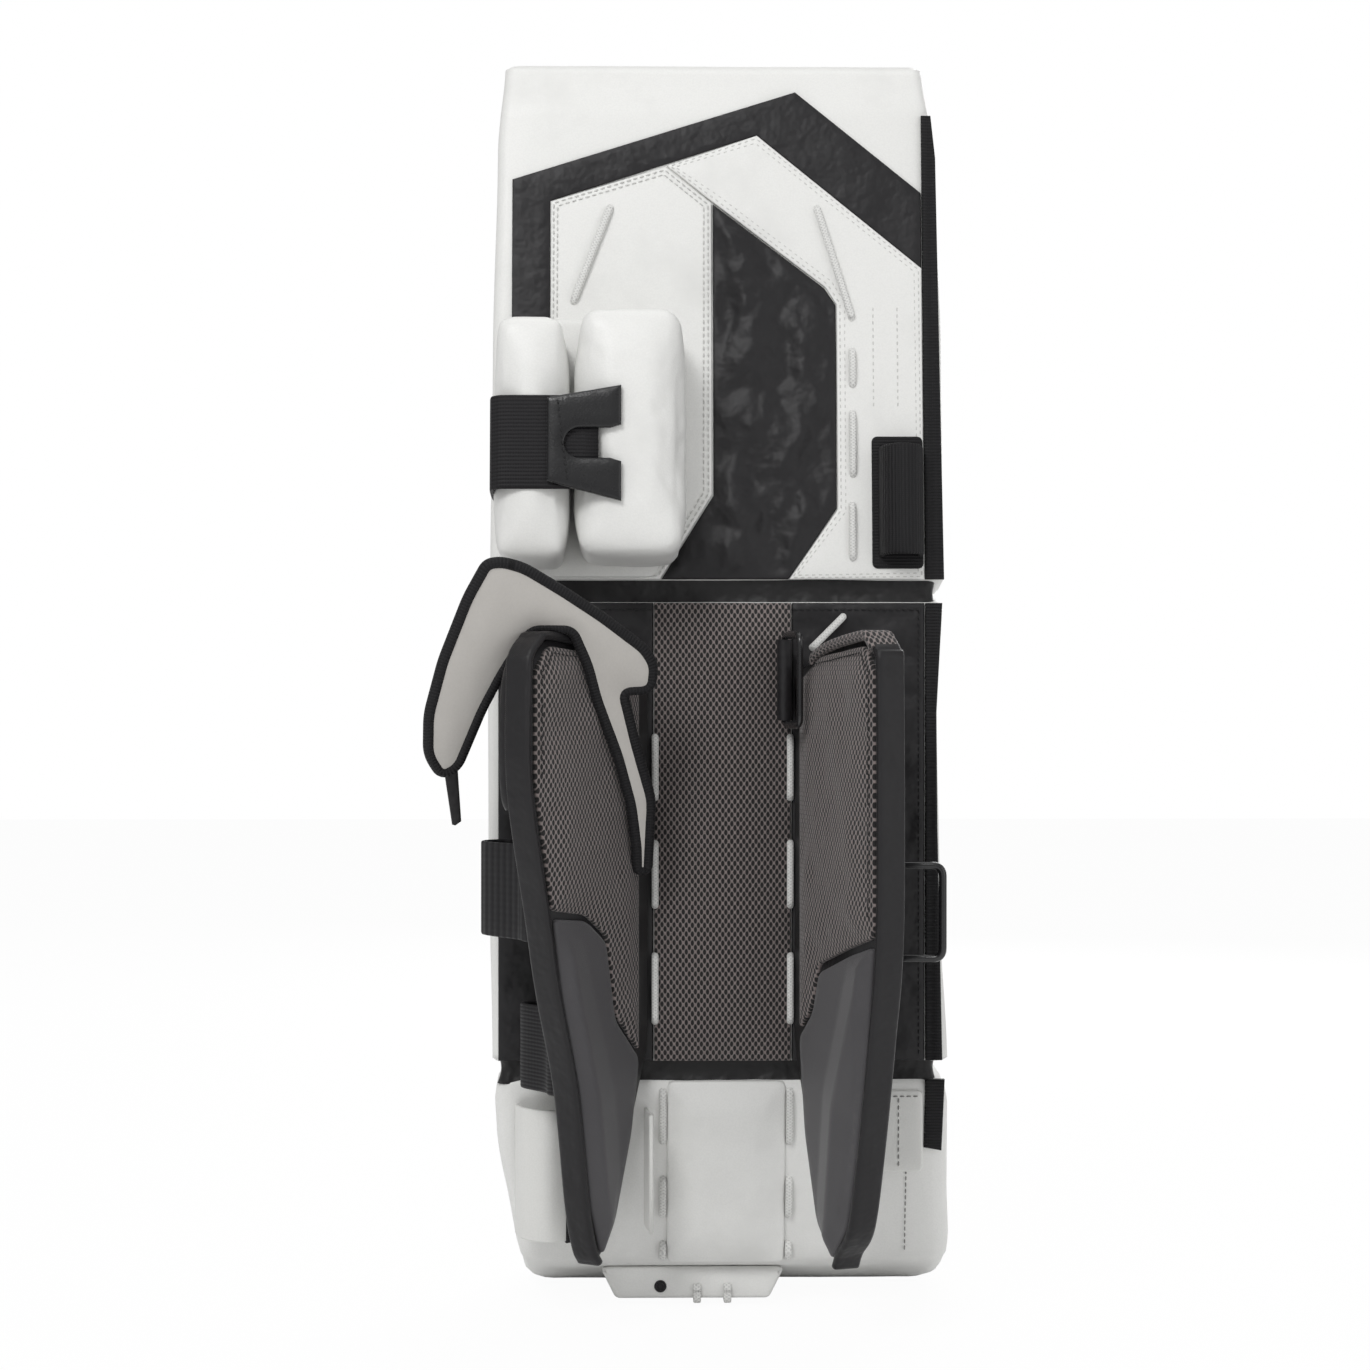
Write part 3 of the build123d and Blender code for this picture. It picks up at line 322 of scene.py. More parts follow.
THIGH_LEFT = [(0.0, -141.0), (150.0, -140.0), (THIGH_LENGTH - 60.0, -137.5), (THIGH_LENGTH, -133.5)]
THIGH_RIGHT = [(0.0, 138.5), (150.0, 138.5), (THIGH_LENGTH - 70.0, 135.5), (THIGH_LENGTH, 128.5)]
TOP_BEVEL, TOP_BEVEL_IN = 32.0, 9.0

thigh_skin = skin(
    "thigh_skin",
    thigh_at,
    (0.5, THIGH_LENGTH),
    (THIGH_LEFT, THIGH_RIGHT),
    lambda h: HALF_THICK - 20.0 * h / THIGH_LENGTH,
    lambda h: BACK_OUT - TOP_BEVEL_IN * max(0.0, (h - THIGH_LENGTH + TOP_BEVEL) / TOP_BEVEL),
    1.0,
    0.0,
    (30.0, 70.0),
)
finished(
    thigh_skin, white_leather, "thigh",
    ("thigh_face", "thigh_back", "thigh_core", "thigh_board"),
)
SHIN_LEFT = [(ANKLE_Z, -139.5), (300.0, -142.0), (KNEE_Z, -142.5)]
SHIN_RIGHT = [(ANKLE_Z, 141.0), (250.0, 136.5), (370.0, 134.5), (KNEE_Z, 138.0)]
shin_skin = skin(
    "shin_skin",
    shin_at,
    (ANKLE_Z + 0.5, KNEE_Z - 0.5),
    (SHIN_LEFT, SHIN_RIGHT),
    lambda z: HALF_THICK,
    lambda z: BACK_OUT,
    1.0,
    1.0,
    (KNEE_Z - 45.0, KNEE_Z - 90.0),
)
finished(
    shin_skin, white_leather, "shin",
    ("shin_face", "shin_back", "shin_core", "shin_board"),
)

# The boot is lofted from side to side: its outline in Y and Z, drawn in a little at both sides.
BOOT_MEDIAL, BOOT_LATERAL = -124.0, 145.0
BOOT_SLOPE, SOLE_REAR_Z = 24.0, 27.0


def boot_profile(inset):
    """The boot's side outline as (forward of the middle, Z), from the ankle round by the sole."""
    top = ANKLE_Z - 0.5
    rear = -BACK_OUT
    outline = [
        (0.0, top),
        (rear * 0.5, top + rear * 0.5 * tan(BREAK_RELIEF)),
        (rear + 4.0, top + rear * tan(BREAK_RELIEF)),
        (rear, top + rear * tan(BREAK_RELIEF) - 4.0),
    ]
    for k in range(1, 12):
        t = k / 12.0
        outline.append((rear + BOOT_SLOPE * t, 142.0 + (SOLE_REAR_Z + 4.0 - 142.0) * t))
    outline += [(rear + BOOT_SLOPE, SOLE_REAR_Z + 4.0), (rear + BOOT_SLOPE + 5.0, SOLE_REAR_Z - 2.0)]
    outline += [(10.0, 18.5), (30.0, 10.2), (46.0, 5.2), (63.0, 0.6), (80.0, 0.2), (94.0, 0.4), (104.0, 4.0)]
    outline += [(108.6, 11.0), (108.0, 19.0), (103.0, 24.0)]
    for t in (0.15, 0.3, 0.45, 0.6, 0.75, 0.88):
        y = 103.0 + (36.0 - 103.0) * t
        z = 24.0 + (140.0 - 24.0) * (t ** 1.75)
        outline.append((y, z))
    outline += [(36.0, 138.0), (34.0, 143.5), (18.0, top - 18.0 * tan(BREAK_RELIEF))]
    middle = (15.0, 75.0)
    drawn = []
    for y, z in outline:
        away = hypot(y - middle[0], z - middle[1])
        drawn.append((y + (middle[0] - y) / away * inset, z + (middle[1] - z) / away * inset))
    return drawn


def boot_side(z, lateral):
    if lateral:
        return along_table([(0.0, BOOT_LATERAL - 3.0), (14.0, BOOT_LATERAL), (ANKLE_Z, 141.0)], z)
    medial = [(0.0, BOOT_MEDIAL + 3.0), (14.0, BOOT_MEDIAL), (120.0, -137.5), (ANKLE_Z, -139.5)]
    return along_table(medial, z)


points, faces = [], []
steps = [(0.0, 16.0), (0.006, 8.0), (0.018, 3.0), (0.04, 0.6), (0.06, 0.0)]
steps += [(0.06 + 0.88 * k / 24, 0.0) for k in range(1, 25)]
steps += [(0.96, 0.6), (0.982, 3.0), (0.994, 8.0), (1.0, 16.0)]
for t, inset in steps:
    ring = boot_profile(inset)
    for y, z in ring:
        left, right = boot_side(z, False), boot_side(z, True)
        x = left + (right - left) * t
        soft = noise.fractal(Vector((x, y, z)) * 0.02, 1.0, 2.0, 3) * 1.0
        points.append((x, MID_Y + y + soft * (1.0 if y > 20.0 else -0.6), z))
size = len(ring)
for i in range(len(steps) - 1):
    for k in range(size):
        n = (k + 1) % size
        faces.append((i * size + k, i * size + n, (i + 1) * size + n, (i + 1) * size + k))
faces.append(tuple(range(size)))
faces.append(tuple(reversed(range((len(steps) - 1) * size, len(steps) * size))))
boot_skin = mesh_piece("boot_skin", points, faces)
finished(
    boot_skin, white_leather, "boot",
    ("boot_face", "boot_back", "boot_core"),
)


def gusset(name, z, lean):
    """A soft black band inside a break. It bends from one section to the other."""
    half = 9.0
    points, faces = [], []
    levels = 9
    for i in range(levels):
        t = i / (levels - 1)
        bulge = -2.2 * sin(pi * t)
        ring = rounded_ring(-136.5 - bulge, 134.5 + bulge, 35.6 + bulge, 32.0 + bulge, 6.0, 14.0)
        size = len(ring)
        at = z - half + 2 * half * t
        tilt = lean * max(0.0, t - 0.5) * 2.0
        points += [(x, MID_Y - depth + (at - z) * sin(tilt), at + depth * sin(tilt)) for x, depth in ring]
    for i in range(levels - 1):
        for k in range(size):
            n = (k + 1) % size
            faces.append((i * size + k, i * size + n, (i + 1) * size + n, (i + 1) * size + k))
    faces.append(tuple(range(size)))
    faces.append(tuple(reversed(range((levels - 1) * size, levels * size))))
    made = mesh_piece(name, points, faces)
    finished(made, gusset_nylon, None)
    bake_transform(made)


gusset("knee_gusset", KNEE_Z, THIGH_LEAN)
gusset("ankle_gusset", ANKLE_Z, 0.0)

# ---- Thigh: panels, pocket and bindings on the back ---------------------------------------------
# Leather and nylon panels are cut flat, folded under at their edges and sewn down with two rows of
# stitches. The pocket behind the knee is loose nylon that puckers.
PANEL = 2.0
SEAM_X = -4.0
THIGH_FOOT = 5.6
BAND_RIGHT = 126.0


def rounded_outline(outline, radius):
    """The outline with its corners replaced by short arcs."""
    if not radius:
        return list(outline)
    drawn = []
    count = len(outline)
    for i, corner in enumerate(outline):
        here = Vector(corner)
        before = Vector(outline[i - 1]) - here
        after = Vector(outline[(i + 1) % count]) - here
        reach = min(radius, before.length * 0.45, after.length * 0.45)
        start, end = here + before.normalized() * reach, here + after.normalized() * reach
        for k in range(7):
            t = k / 6.0
            drawn.append(tuple(start * (1 - t) ** 2 + here * 2 * t * (1 - t) + end * t * t))
    return drawn


def spaced(outline, step, closed=True):
    """The line divided into even steps, keeping its corners."""
    ends = list(outline) + ([outline[0]] if closed else [])
    drawn = []
    for a, b in zip(ends, ends[1:]):
        a, b = Vector(a), Vector(b)
        parts = max(1, round((b - a).length / step))
        drawn += [tuple(a + (b - a) * (k / parts)) for k in range(parts)]
    if not closed:
        drawn.append(tuple(outline[-1]))
    return drawn


def inset_line(outline, amount):
    """A closed outline moved inward by amount."""
    count = len(outline)
    area = sum(
        outline[i][0] * outline[(i + 1) % count][1] - outline[(i + 1) % count][0] * outline[i][1]
        for i in range(count)
    )
    turn = 1.0 if area > 0 else -1.0
    drawn = []
    for i, here in enumerate(outline):
        here = Vector(here)
        before = (here - Vector(outline[i - 1])).normalized()
        after = (Vector(outline[(i + 1) % count]) - here).normalized()
        run = before + after
        if run.length < 1e-6:
            run = after
        run.normalize()
        inward = Vector((-run.y, run.x)) * turn
        drawn.append(tuple(here + inward * amount))
    return drawn


def distance_to(lines, x, y):
    """The shortest distance from a point to any of some lines."""
    best = 1e9
    for line in lines:
        for (ax, ay), (bx, by) in zip(line, line[1:]):
            dx, dy = bx - ax, by - ay
            t = ((x - ax) * dx + (y - ay) * dy) / max(dx * dx + dy * dy, 1e-9)
            t = min(1.0, max(0.0, t))
            best = min(best, hypot(x - ax - dx * t, y - ay - dy * t))
    return best


def upright(left, right, low, high):
    """The four corners of an upright rectangle, from the lower left round."""
    return [(left, low), (right, low), (right, high), (left, high)]


def panel(name, outline, place, thick, rim=1.0, corner=0.0, crown=0.0, crown_in=20.0,
          ripple=0.0, ripple_size=30.0, lie=(1.0, 1.0), grooves=(), groove=(1.0, 2.5), step=5.0, shape=None):
    """A padded panel. outline is in its own flat axes, place takes those and a height above the
    base to a point. rim rounds the edge, crown swells the middle, ripple puckers the cloth, and
    grooves are sewn lines that pull it down by groove[0], over a width of groove[1]."""
    edge = spaced(rounded_outline(outline, corner), step)
    levels = [(0.0, 0.0), (0.0, max(thick - rim, thick * 0.3)), (rim * 0.3, thick - rim * 0.3)]
    rings = [(inset_line(edge, tuck), height) for tuck, height in levels]
    inner = inset_line(edge, rim)
    xs, ys = [p[0] for p in inner], [p[1] for p in inner]
    closed = [inner + [inner[0]]]
    spots = list(inner)
    row = 0
    y = min(ys) + step * 0.5
    while y < max(ys):
        x = min(xs) + (step * 0.5 if row % 2 else 0.0)
        while x < max(xs):
            crossings = sum(
                1
                for (ax, ay), (bx, by) in zip(closed[0], closed[0][1:])
                if (ay > y) != (by > y) and x < ax + (bx - ax) * (y - ay) / (by - ay)
            )
            if crossings % 2 and distance_to(closed, x, y) > step * 0.55:
                spots.append((x, y))
            x += step
        y += step * 0.87
        row += 1
    ring_count = len(inner)
    flat = geometry.delaunay_2d_cdt(
        [Vector(s) for s in spots], [], [list(range(ring_count))], 1, 1e-5
    )
    points, faces, uvs = [], [], []
    for ring, height in rings:
        points += [place(x, y, height) for x, y in ring]
        uvs += list(ring)
    base = len(points)
    rank = {}
    for i, origins in enumerate(flat[3]):
        for origin in origins:
            rank[origin] = i
    for spot in flat[0]:
        x, y = spot
        away = distance_to(closed, x, y)
        swell = crown * sin(min(1.0, away / crown_in) * pi / 2)
        fade = min(1.0, away / 8.0)
        spot = Vector((x * lie[0], y * lie[1], thick)) / ripple_size
        pucker = ripple * fade * noise.fractal(spot, 1.0, 2.1, 4)
        height = thick + swell + pucker
        if grooves:
            height -= groove[0] * math_bell(distance_to(grooves, x, y) / groove[1])
        if shape:
            height += shape(x, y, away)
        height = max(height, thick * 0.35)
        points.append(place(x, y, height))
        uvs.append((x, y))
    for level in range(len(rings) - 1):
        for k in range(ring_count):
            n = (k + 1) % ring_count
            a, b = level * ring_count, (level + 1) * ring_count
            faces.append((a + k, a + n, b + n, b + k))
    last = (len(rings) - 1) * ring_count
    for k in range(ring_count):
        n = (k + 1) % ring_count
        faces.append((last + k, last + n, base + rank[n], base + rank[k]))
    faces += [tuple(base + v for v in face) for face in flat[2]]
    faces.append(tuple(reversed(range(ring_count))))
    return mesh_piece(name, points, faces, uvs)


def on_thigh(out):
    return lambda x, h, height: thigh_at(x, h, out + height)


thread_white = Finish("thread_white", (0.62, 0.62, 0.60, 1.0), 0.6)
thread_white.emboss(thread_white.grain(1500.0), 0.0001)
thread_black = Finish("thread_black", (0.008, 0.008, 0.009, 1.0), 0.6)
thread_black.emboss(thread_black.grain(1500.0), 0.0001)


def stitches(name, lines, place, finish, body, height=0.2, pitch=4.2, length=2.9, girth=0.42):
    """Rows of lock stitches: each is a small bead of thread lying on the surface."""
    points, faces = [], []
    for line in lines:
        spots = spaced(line, pitch, closed=False)
        for (ax, ay), (bx, by) in zip(spots, spots[1:]):
            run = hypot(bx - ax, by - ay)
            if run < pitch * 0.4:
                continue
            ux, uy = (bx - ax) / run, (by - ay) / run
            reach = min(length, run * 0.8) / 2
            cx, cy = (ax + bx) / 2, (ay + by) / 2
            first = len(points)
            for t, swell in ((-1.0, 0.35), (-0.55, 1.0), (0.55, 1.0), (1.0, 0.35)):
                for side, up in ((-1.0, 0.0), (-0.6, 0.9), (0.6, 0.9), (1.0, 0.0)):
                    x = cx + ux * reach * t - uy * girth * side * swell
                    y = cy + uy * reach * t + ux * girth * side * swell
                    lift = height + girth * (up * swell - (0.8 if abs(t) == 1.0 else 0.0))
                    points.append(place(x, y, lift))
            for i in range(3):
                for k in range(3):
                    a = first + i * 4 + k
                    faces.append((a, a + 1, a + 5, a + 4))
                a = first + i * 4
                faces.append((a + 3, a, a + 4, a + 7))
            faces.append((first, first + 1, first + 2, first + 3))
            faces.append((first + 15, first + 14, first + 13, first + 12))
    return finished(mesh_piece(name, points, faces), finish, body)


band_outline = [
    (-128.0, 155.0), (-128.0, 256.0), (48.0, 312.0), (BAND_RIGHT, 248.0), (BAND_RIGHT, 200.4),
    (24.0, 284.4), (-104.4, 242.4), (-104.4, 168.0),
]
finished(
    panel("chevron_band_cloth", band_outline, on_thigh(BACK_OUT), 1.6, 0.6, ripple=0.35),
    black_nylon, "thigh", ("chevron_band",),
)
medial_outline = [
    (-104.0, THIGH_FOOT), (-36.4, THIGH_FOOT), (-4.4, 58.0), (-4.4, 241.0), (-33.0, 264.0), (-104.0, 242.0),
]
finished(
    panel("thigh_leather_medial", medial_outline, on_thigh(BACK_OUT), PANEL, 0.8, crown=0.5),
    white_leather, "thigh", ("thigh_panel_medial",),
)
lateral_outline = [
    (-32.0, 264.6), (SEAM_X, 242.0), (66.0, 188.0), (73.0, 177.0), (73.0, 49.0), (43.0, THIGH_FOOT),
    (BAND_RIGHT, THIGH_FOOT), (BAND_RIGHT, 200.0), (24.0, 284.0),
]
finished(
    panel("thigh_leather_lateral", lateral_outline, on_thigh(BACK_OUT), PANEL + 0.6, 0.9, crown=0.6),
    white_leather, "thigh", ("thigh_panel_lateral",),
)
pocket_outline = [
    (-35.5, THIGH_FOOT), (42.5, THIGH_FOOT), (72.5, 49.5), (72.5, 177.0), (65.5, 187.5), (-3.5, 240.5),
    (-3.5, 57.5),
]
finished(
    panel(
        "knee_pocket_cloth", pocket_outline, on_thigh(BACK_OUT), 2.2, 1.2, crown=2.0,
        ripple=6.0, ripple_size=24.0, lie=(1.0, 0.6), step=3.0,
    ),
    black_nylon, "thigh", ("knee_pocket",),
)
seam_rows = []
for tuck in (2.2, 5.2):
    for outline in (medial_outline, lateral_outline):
        line = inset_line(outline, tuck)
        seam_rows.append(line + [line[0]])
stitches("thigh_seam_stitches", seam_rows, on_thigh(BACK_OUT + PANEL), thread_white, "thigh", 0.55)
fake_rows = [[(95.5, 176.0), (95.5, 112.0)], [(110.5, 176.0), (110.5, 112.0)]]
stitches("keeper_row_stitches", fake_rows, on_thigh(BACK_OUT + PANEL), thread_white, "thigh", 1.1)


def ribbed(name, color, ribs, axis, kind="UV", gloss=0.55):
    """Narrow woven tape or elastic, with ribs across one direction of its surface."""
    made = Finish(name, color, gloss, Sheen_Weight=0.03, Specular_IOR_Level=0.2)
    rib = (made.along(axis, kind) * (ribs * 2 * pi)).maths("SINE") * 0.5 + 0.5
    cross = (made.along(1 - axis, kind) * (ribs * 3 * pi)).maths("SINE") * 0.5 + 0.5
    lighter = tuple(min(c * 2.2 + 0.006, 1.0) for c in color[:3]) + (1.0,)
    made.paint(made.mix(color, lighter, rib * 0.55 + cross * 0.15))
    made.dull(rib * 0.15 + (gloss - 0.05))
    made.emboss(rib + cross * 0.25, 0.0004, 0.8)
    return made


binding_tape = ribbed("binding_tape", (0.0075, 0.0072, 0.0080, 1.0), 520.0, 1)
binding_grooves = [[(131.0, THIGH_FOOT), (131.0, 297.0)], [(135.2, THIGH_FOOT), (133.5, 297.0)]]
finished(
    panel(
        "thigh_binding_tape",
        [(126.5, THIGH_FOOT), (138.2, THIGH_FOOT), (135.2, 270.0), (132.5, 297.0), (126.5, 297.0)],
        on_thigh(BACK_OUT), 3.0, 1.0, grooves=binding_grooves, groove=(1.2, 0.8), step=2.0,
    ),
    binding_tape, "thigh", ("thigh_edge_binding",),
)

# ---- Laces --------------------------------------------------------------------------------------
# Flat white cord runs in and out of punched holes, to tie the back panels to the foam.
LACE_RADIUS = 2.2


def braided(name, color):
    made = Finish(name, color, 0.7, Sheen_Weight=0.2)
    run, round_it = made.along(1, "UV"), made.along(0, "UV")
    one = ((run * 520.0 + round_it * 300.0) * (2 * pi)).maths("SINE")
    two = ((run * 520.0 - round_it * 300.0) * (2 * pi)).maths("SINE")
    plait = one.maths("MAXIMUM", two) * 0.5 + 0.5
    made.paint(made.mix(tuple(c * 0.72 for c in color[:3]) + (1.0,), color, plait))
    made.emboss(plait, 0.0004, 0.7)
    return made


white_lace = braided("white_lace", (0.80, 0.80, 0.78, 1.0))


def smooth_line(spots, per=6):
    """A smooth line through some points."""
    spots = [Vector(s) for s in spots]
    ends = [spots[0] * 2 - spots[1], *spots, spots[-1] * 2 - spots[-2]]
    drawn = []
    for a, b, c, d in zip(ends, ends[1:], ends[2:], ends[3:]):
        for k in range(per):
            t = k / per
            drawn.append(
                (b * 2 + (c - a) * t + (a * 2 - b * 5 + c * 4 - d) * t * t
                 + (b * 3 - a - c * 3 + d) * t ** 3) * 0.5
            )
    drawn.append(spots[-1])
    return drawn


def tube_faces(count, size, closed=False):
    """The faces of a tube of count rings with size points each. Its ends are capped unless it closes."""
    faces = []
    for i in range(count if closed else count - 1):
        a, b = i * size, ((i + 1) % count) * size
        for k in range(size):
            n = (k + 1) % size
            faces.append((a + k, a + n, b + n, b + k))
    if not closed:
        faces.append(tuple(range(size)))
        faces.append(tuple(reversed(range((count - 1) * size, count * size))))
    return faces


def swept(name, line, profile, up, closed=False):
    """A profile, (across, up) points, carried along a line. up is the direction its back faces: a
    vector, or a function of the place along the line from 0 to 1."""
    line = [Vector(p) for p in line]
    points, uvs = [], []
    count = len(line)
    travelled = 0.0
    for i, here in enumerate(line):
        before = line[i - 1] if closed or i else here
        after = line[(i + 1) % count] if closed or i < count - 1 else here
        run = (after - before).normalized()
        way = Vector(up(i / (count - 1)) if callable(up) else up)
        across = run.cross(way).normalized()
        back = across.cross(run).normalized()
        if i:
            travelled += (here - line[i - 1]).length
        girth = 0.0
        for k, (a, b) in enumerate(profile):
            points.append(tuple(here + across * a + back * b))
            if k:
                girth += hypot(a - profile[k - 1][0], b - profile[k - 1][1])
            uvs.append((girth, travelled))
    return mesh_piece(name, points, tube_faces(count, len(profile), closed), uvs)


def round_profile(radius, sides=10, flat=1.0):
    return [(radius * cos(2 * pi * k / sides), radius * flat * sin(2 * pi * k / sides))
        for k in range(sides)]


def tape_profile(width, thick, edge=0.45):
    """A flat tape's section with softly rounded edges."""
    half, r = width / 2, thick * edge
    drawn = []
    for cx, cy, start in ((half - r, thick / 2 - r, 0), (r - half, thick / 2 - r, 90),
                          (r - half, r - thick / 2, 180), (half - r, r - thick / 2, 270)):
        for k in range(4):
            turn = radians(start + 30 * k)
            drawn.append((cx + r * cos(turn), cy + r * sin(turn)))
        if start in (0, 180):
            x0, x1 = (half - r, r - half) if start == 0 else (r - half, half - r)
            y0 = thick / 2 if start == 0 else -thick / 2
            drawn += [(x0 + (x1 - x0) * t, y0) for t in (0.2, 0.4, 0.6, 0.8)]
    return drawn


def joined(name, pieces):
    """Several meshes made into one piece."""
    whole = bmesh.new()
    for piece in pieces:
        whole.from_mesh(piece.data)
    data = bpy.data.meshes.new(name)
    whole.to_mesh(data)
    whole.free()
    data.shade_smooth()
    for piece in pieces:
        bpy.data.objects.remove(piece)
    made = bpy.data.objects.new(name, data)
    bpy.context.scene.collection.objects.link(made)
    return made


def lace_runs(name, runs, place, out, covers, body):
    """Lace runs on a surface. Each end dips into its hole."""
    made = []
    for x0, y0, x1, y1 in runs:
        long = hypot(x1 - x0, y1 - y0)
        ux, uy = (x1 - x0) / long, (y1 - y0) / long
        spots = [
            (x0 - ux * 0.6, y0 - uy * 0.6, -2.6), (x0, y0, -0.4), (x0 + ux * 1.8, y0 + uy * 1.8, 1.5),
            (x0 + ux * 5.0, y0 + uy * 5.0, 2.1), ((x0 + x1) / 2, (y0 + y1) / 2, 2.5),
            (x1 - ux * 5.0, y1 - uy * 5.0, 2.1), (x1 - ux * 1.8, y1 - uy * 1.8, 1.5), (x1, y1, -0.4),
            (x1 + ux * 0.6, y1 + uy * 0.6, -2.6),
        ]
        line = smooth_line([place(x, y, out + z) for x, y, z in spots], 4)
        made.append(swept(name, line, round_profile(LACE_RADIUS, 10, 0.82), (0.0, -1.0, 0.05)))
    whole = joined(name, made)
    return finished(whole, white_lace, body, covers)


lateral_runs = [(61.0, 238.0, 82.5, 168.0), (82.5, 148.0, 82.5, 126.0), (82.5, 109.0, 82.5, 70.0),
    (82.0, 52.0, 82.0, 18.0)]
lace_runs("thigh_lace_lateral", lateral_runs, thigh_at, BACK_OUT + 2.8, ("thigh_lacing_lateral",), "thigh")
lace_runs("thigh_lace_medial", [(-67.0, 238.0, -90.0, 178.0)], thigh_at, BACK_OUT + 2.4,
    ("thigh_lacing_medial",), "thigh")
CALF_RUNS = [(355.0, 318.0), (290.0, 252.0), (221.0, 181.0)]
LINER_LEFT, LINER_RIGHT = -40.0, 44.0
for side, x in (("medial", LINER_LEFT + 0.6), ("lateral", LINER_RIGHT - 0.6)):
    runs = [(x, high, x, low) for high, low in CALF_RUNS]
    lace_runs(f"calf_lace_{side}", runs, shin_at, BACK_OUT + 4.4, (f"calf_lacing_{side}",), "shin")
lace_runs("tie_lace", [(57.0, 410.0, 76.0, 429.0)], shin_at, BACK_OUT + 3.2, ("wing_tie_lace",), "shin")

# ---- Knee stack ---------------------------------------------------------------------------------
# Two foam blocks covered in leather stand on a base sheet inside the knee. A strap wraps them and
# ends in a stiff hook tab that catches the keeper on the other side.
BASE_OUT = BACK_OUT + PANEL + 0.3
BLOCK_OUT = BASE_OUT + 3.0
BLOCK_DEPTH = 64.0

finished(
    panel("knee_base_sheet", [(-134.0, 6.6), (-37.0, 6.6), (-37.0, 167.0), (-134.0, 167.0)],
          on_thigh(BASE_OUT), 3.0, 1.2, 8.0, ripple=0.8),
    white_leather, "thigh", ("knee_stack_base",),
)


def filled_cover(name, node, voxel=4.0, most=3.0, pressure=4.0):
    """A leather cover blown up round its filling: the solid's shape as cloth, under pressure and held
    at its base. It moves most millimetres at the most."""
    made = bpy.data.objects.new(name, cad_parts[node].data.copy())
    scene = bpy.context.scene
    scene.collection.objects.link(made)

    def settle():
        shape = bpy.data.meshes.new_from_object(made.evaluated_get(bpy.context.evaluated_depsgraph_get()))
        made.modifiers.clear()
        made.data = shape

    even = made.modifiers.new("even", "REMESH")
    even.mode = "VOXEL"
    even.voxel_size = voxel * MM
    soften = made.modifiers.new("soften", "SMOOTH")
    soften.iterations = 3
    settle()
    middle = sum((v.co for v in made.data.vertices), Vector()) / len(made.data.vertices)
    for v in made.data.vertices:
        v.co = middle + (v.co - middle) * 0.985
    rest = [v.co.copy() for v in made.data.vertices]
    rear = Vector((0.0, -cos(THIGH_LEAN), sin(THIGH_LEAN)))
    foot = min(co.dot(rear) for co in rest)
    base = made.vertex_groups.new(name="base")
    base.add([i for i, co in enumerate(rest) if co.dot(rear) < foot + 6.0 * MM], 1.0, "REPLACE")
    cloth = made.modifiers.new("fill", "CLOTH")
    cloth.settings.quality = 5
    cloth.settings.mass = 0.3
    cloth.settings.tension_stiffness = 15.0
    cloth.settings.compression_stiffness = 8.0
    cloth.settings.bending_stiffness = 0.3
    cloth.settings.use_pressure = True
    cloth.settings.uniform_pressure_force = pressure
    cloth.settings.effector_weights.gravity = 0.0
    cloth.settings.vertex_group_mass = "base"
    cloth.point_cache.frame_start = 1
    cloth.point_cache.frame_end = 20
    for number in range(1, 21):
        scene.frame_set(number)
    settle()
    scene.frame_set(1)
    for v, start in zip(made.data.vertices, rest):
        move = v.co - start
        if move.length > most * MM:
            v.co = start + move.normalized() * most * MM
    for v in made.data.vertices:
        crease = noise.fractal(v.co * 26.0, 1.0, 2.1, 4)
        v.co += v.normal * (crease * 0.9 - 0.6) * MM
    finer = made.modifiers.new("finer", "SUBSURF")
    finer.levels = 1
    settle()
    made.data.shade_smooth()
    return finished(made, white_leather, "thigh", (node,))


filled_cover("medial_block_cover", "knee_block_medial")
filled_cover("inner_block_cover", "knee_block_inner")

STRAP_MID, STRAP_WIDTH, STRAP_THICK = 78.0, 56.0, 3.0
STRAP_X = -134.0 - 0.3 - STRAP_THICK / 2
STRAP_OUT = BLOCK_OUT + BLOCK_DEPTH + 0.3 + STRAP_THICK / 2
TAB_HINGE_X = -103.0
webbing = ribbed("webbing", (0.0085, 0.0080, 0.0090, 1.0), 450.0, 0)
strap_spots = [(STRAP_X, BASE_OUT + 8.0), (STRAP_X - 0.8, 75.0), (STRAP_X, STRAP_OUT - 7.0),
    (STRAP_X + 2.2, STRAP_OUT - 2.0),
               (STRAP_X + 7.0, STRAP_OUT + 0.2), (-115.0, STRAP_OUT + 0.5), (-73.0, STRAP_OUT)]


def wrap_strap(name, spots, height_at, width, thick, body, covers, finish, per=5):
    """A flat strap standing on edge: spots are (x, y), and it keeps its width along Z."""
    line = smooth_line([(x, y, height_at) for x, y in spots], per)
    count = len(line)
    points, uvs = [], []
    profile = tape_profile(width, thick)
    travelled = 0.0
    for i, here in enumerate(line):
        before, after = line[max(0, i - 1)], line[min(count - 1, i + 1)]
        run = (after - before).normalized()
        out = Vector((run.y, -run.x, 0.0))
        if i:
            travelled += (here - line[i - 1]).length
        for a, b in profile:
            points.append(tuple(here + Vector((0.0, 0.0, a)) + out * b))
            uvs.append((a, travelled))
    made = mesh_piece(name, points, tube_faces(count, len(profile)), uvs)
    return finished(made, finish, body, covers)


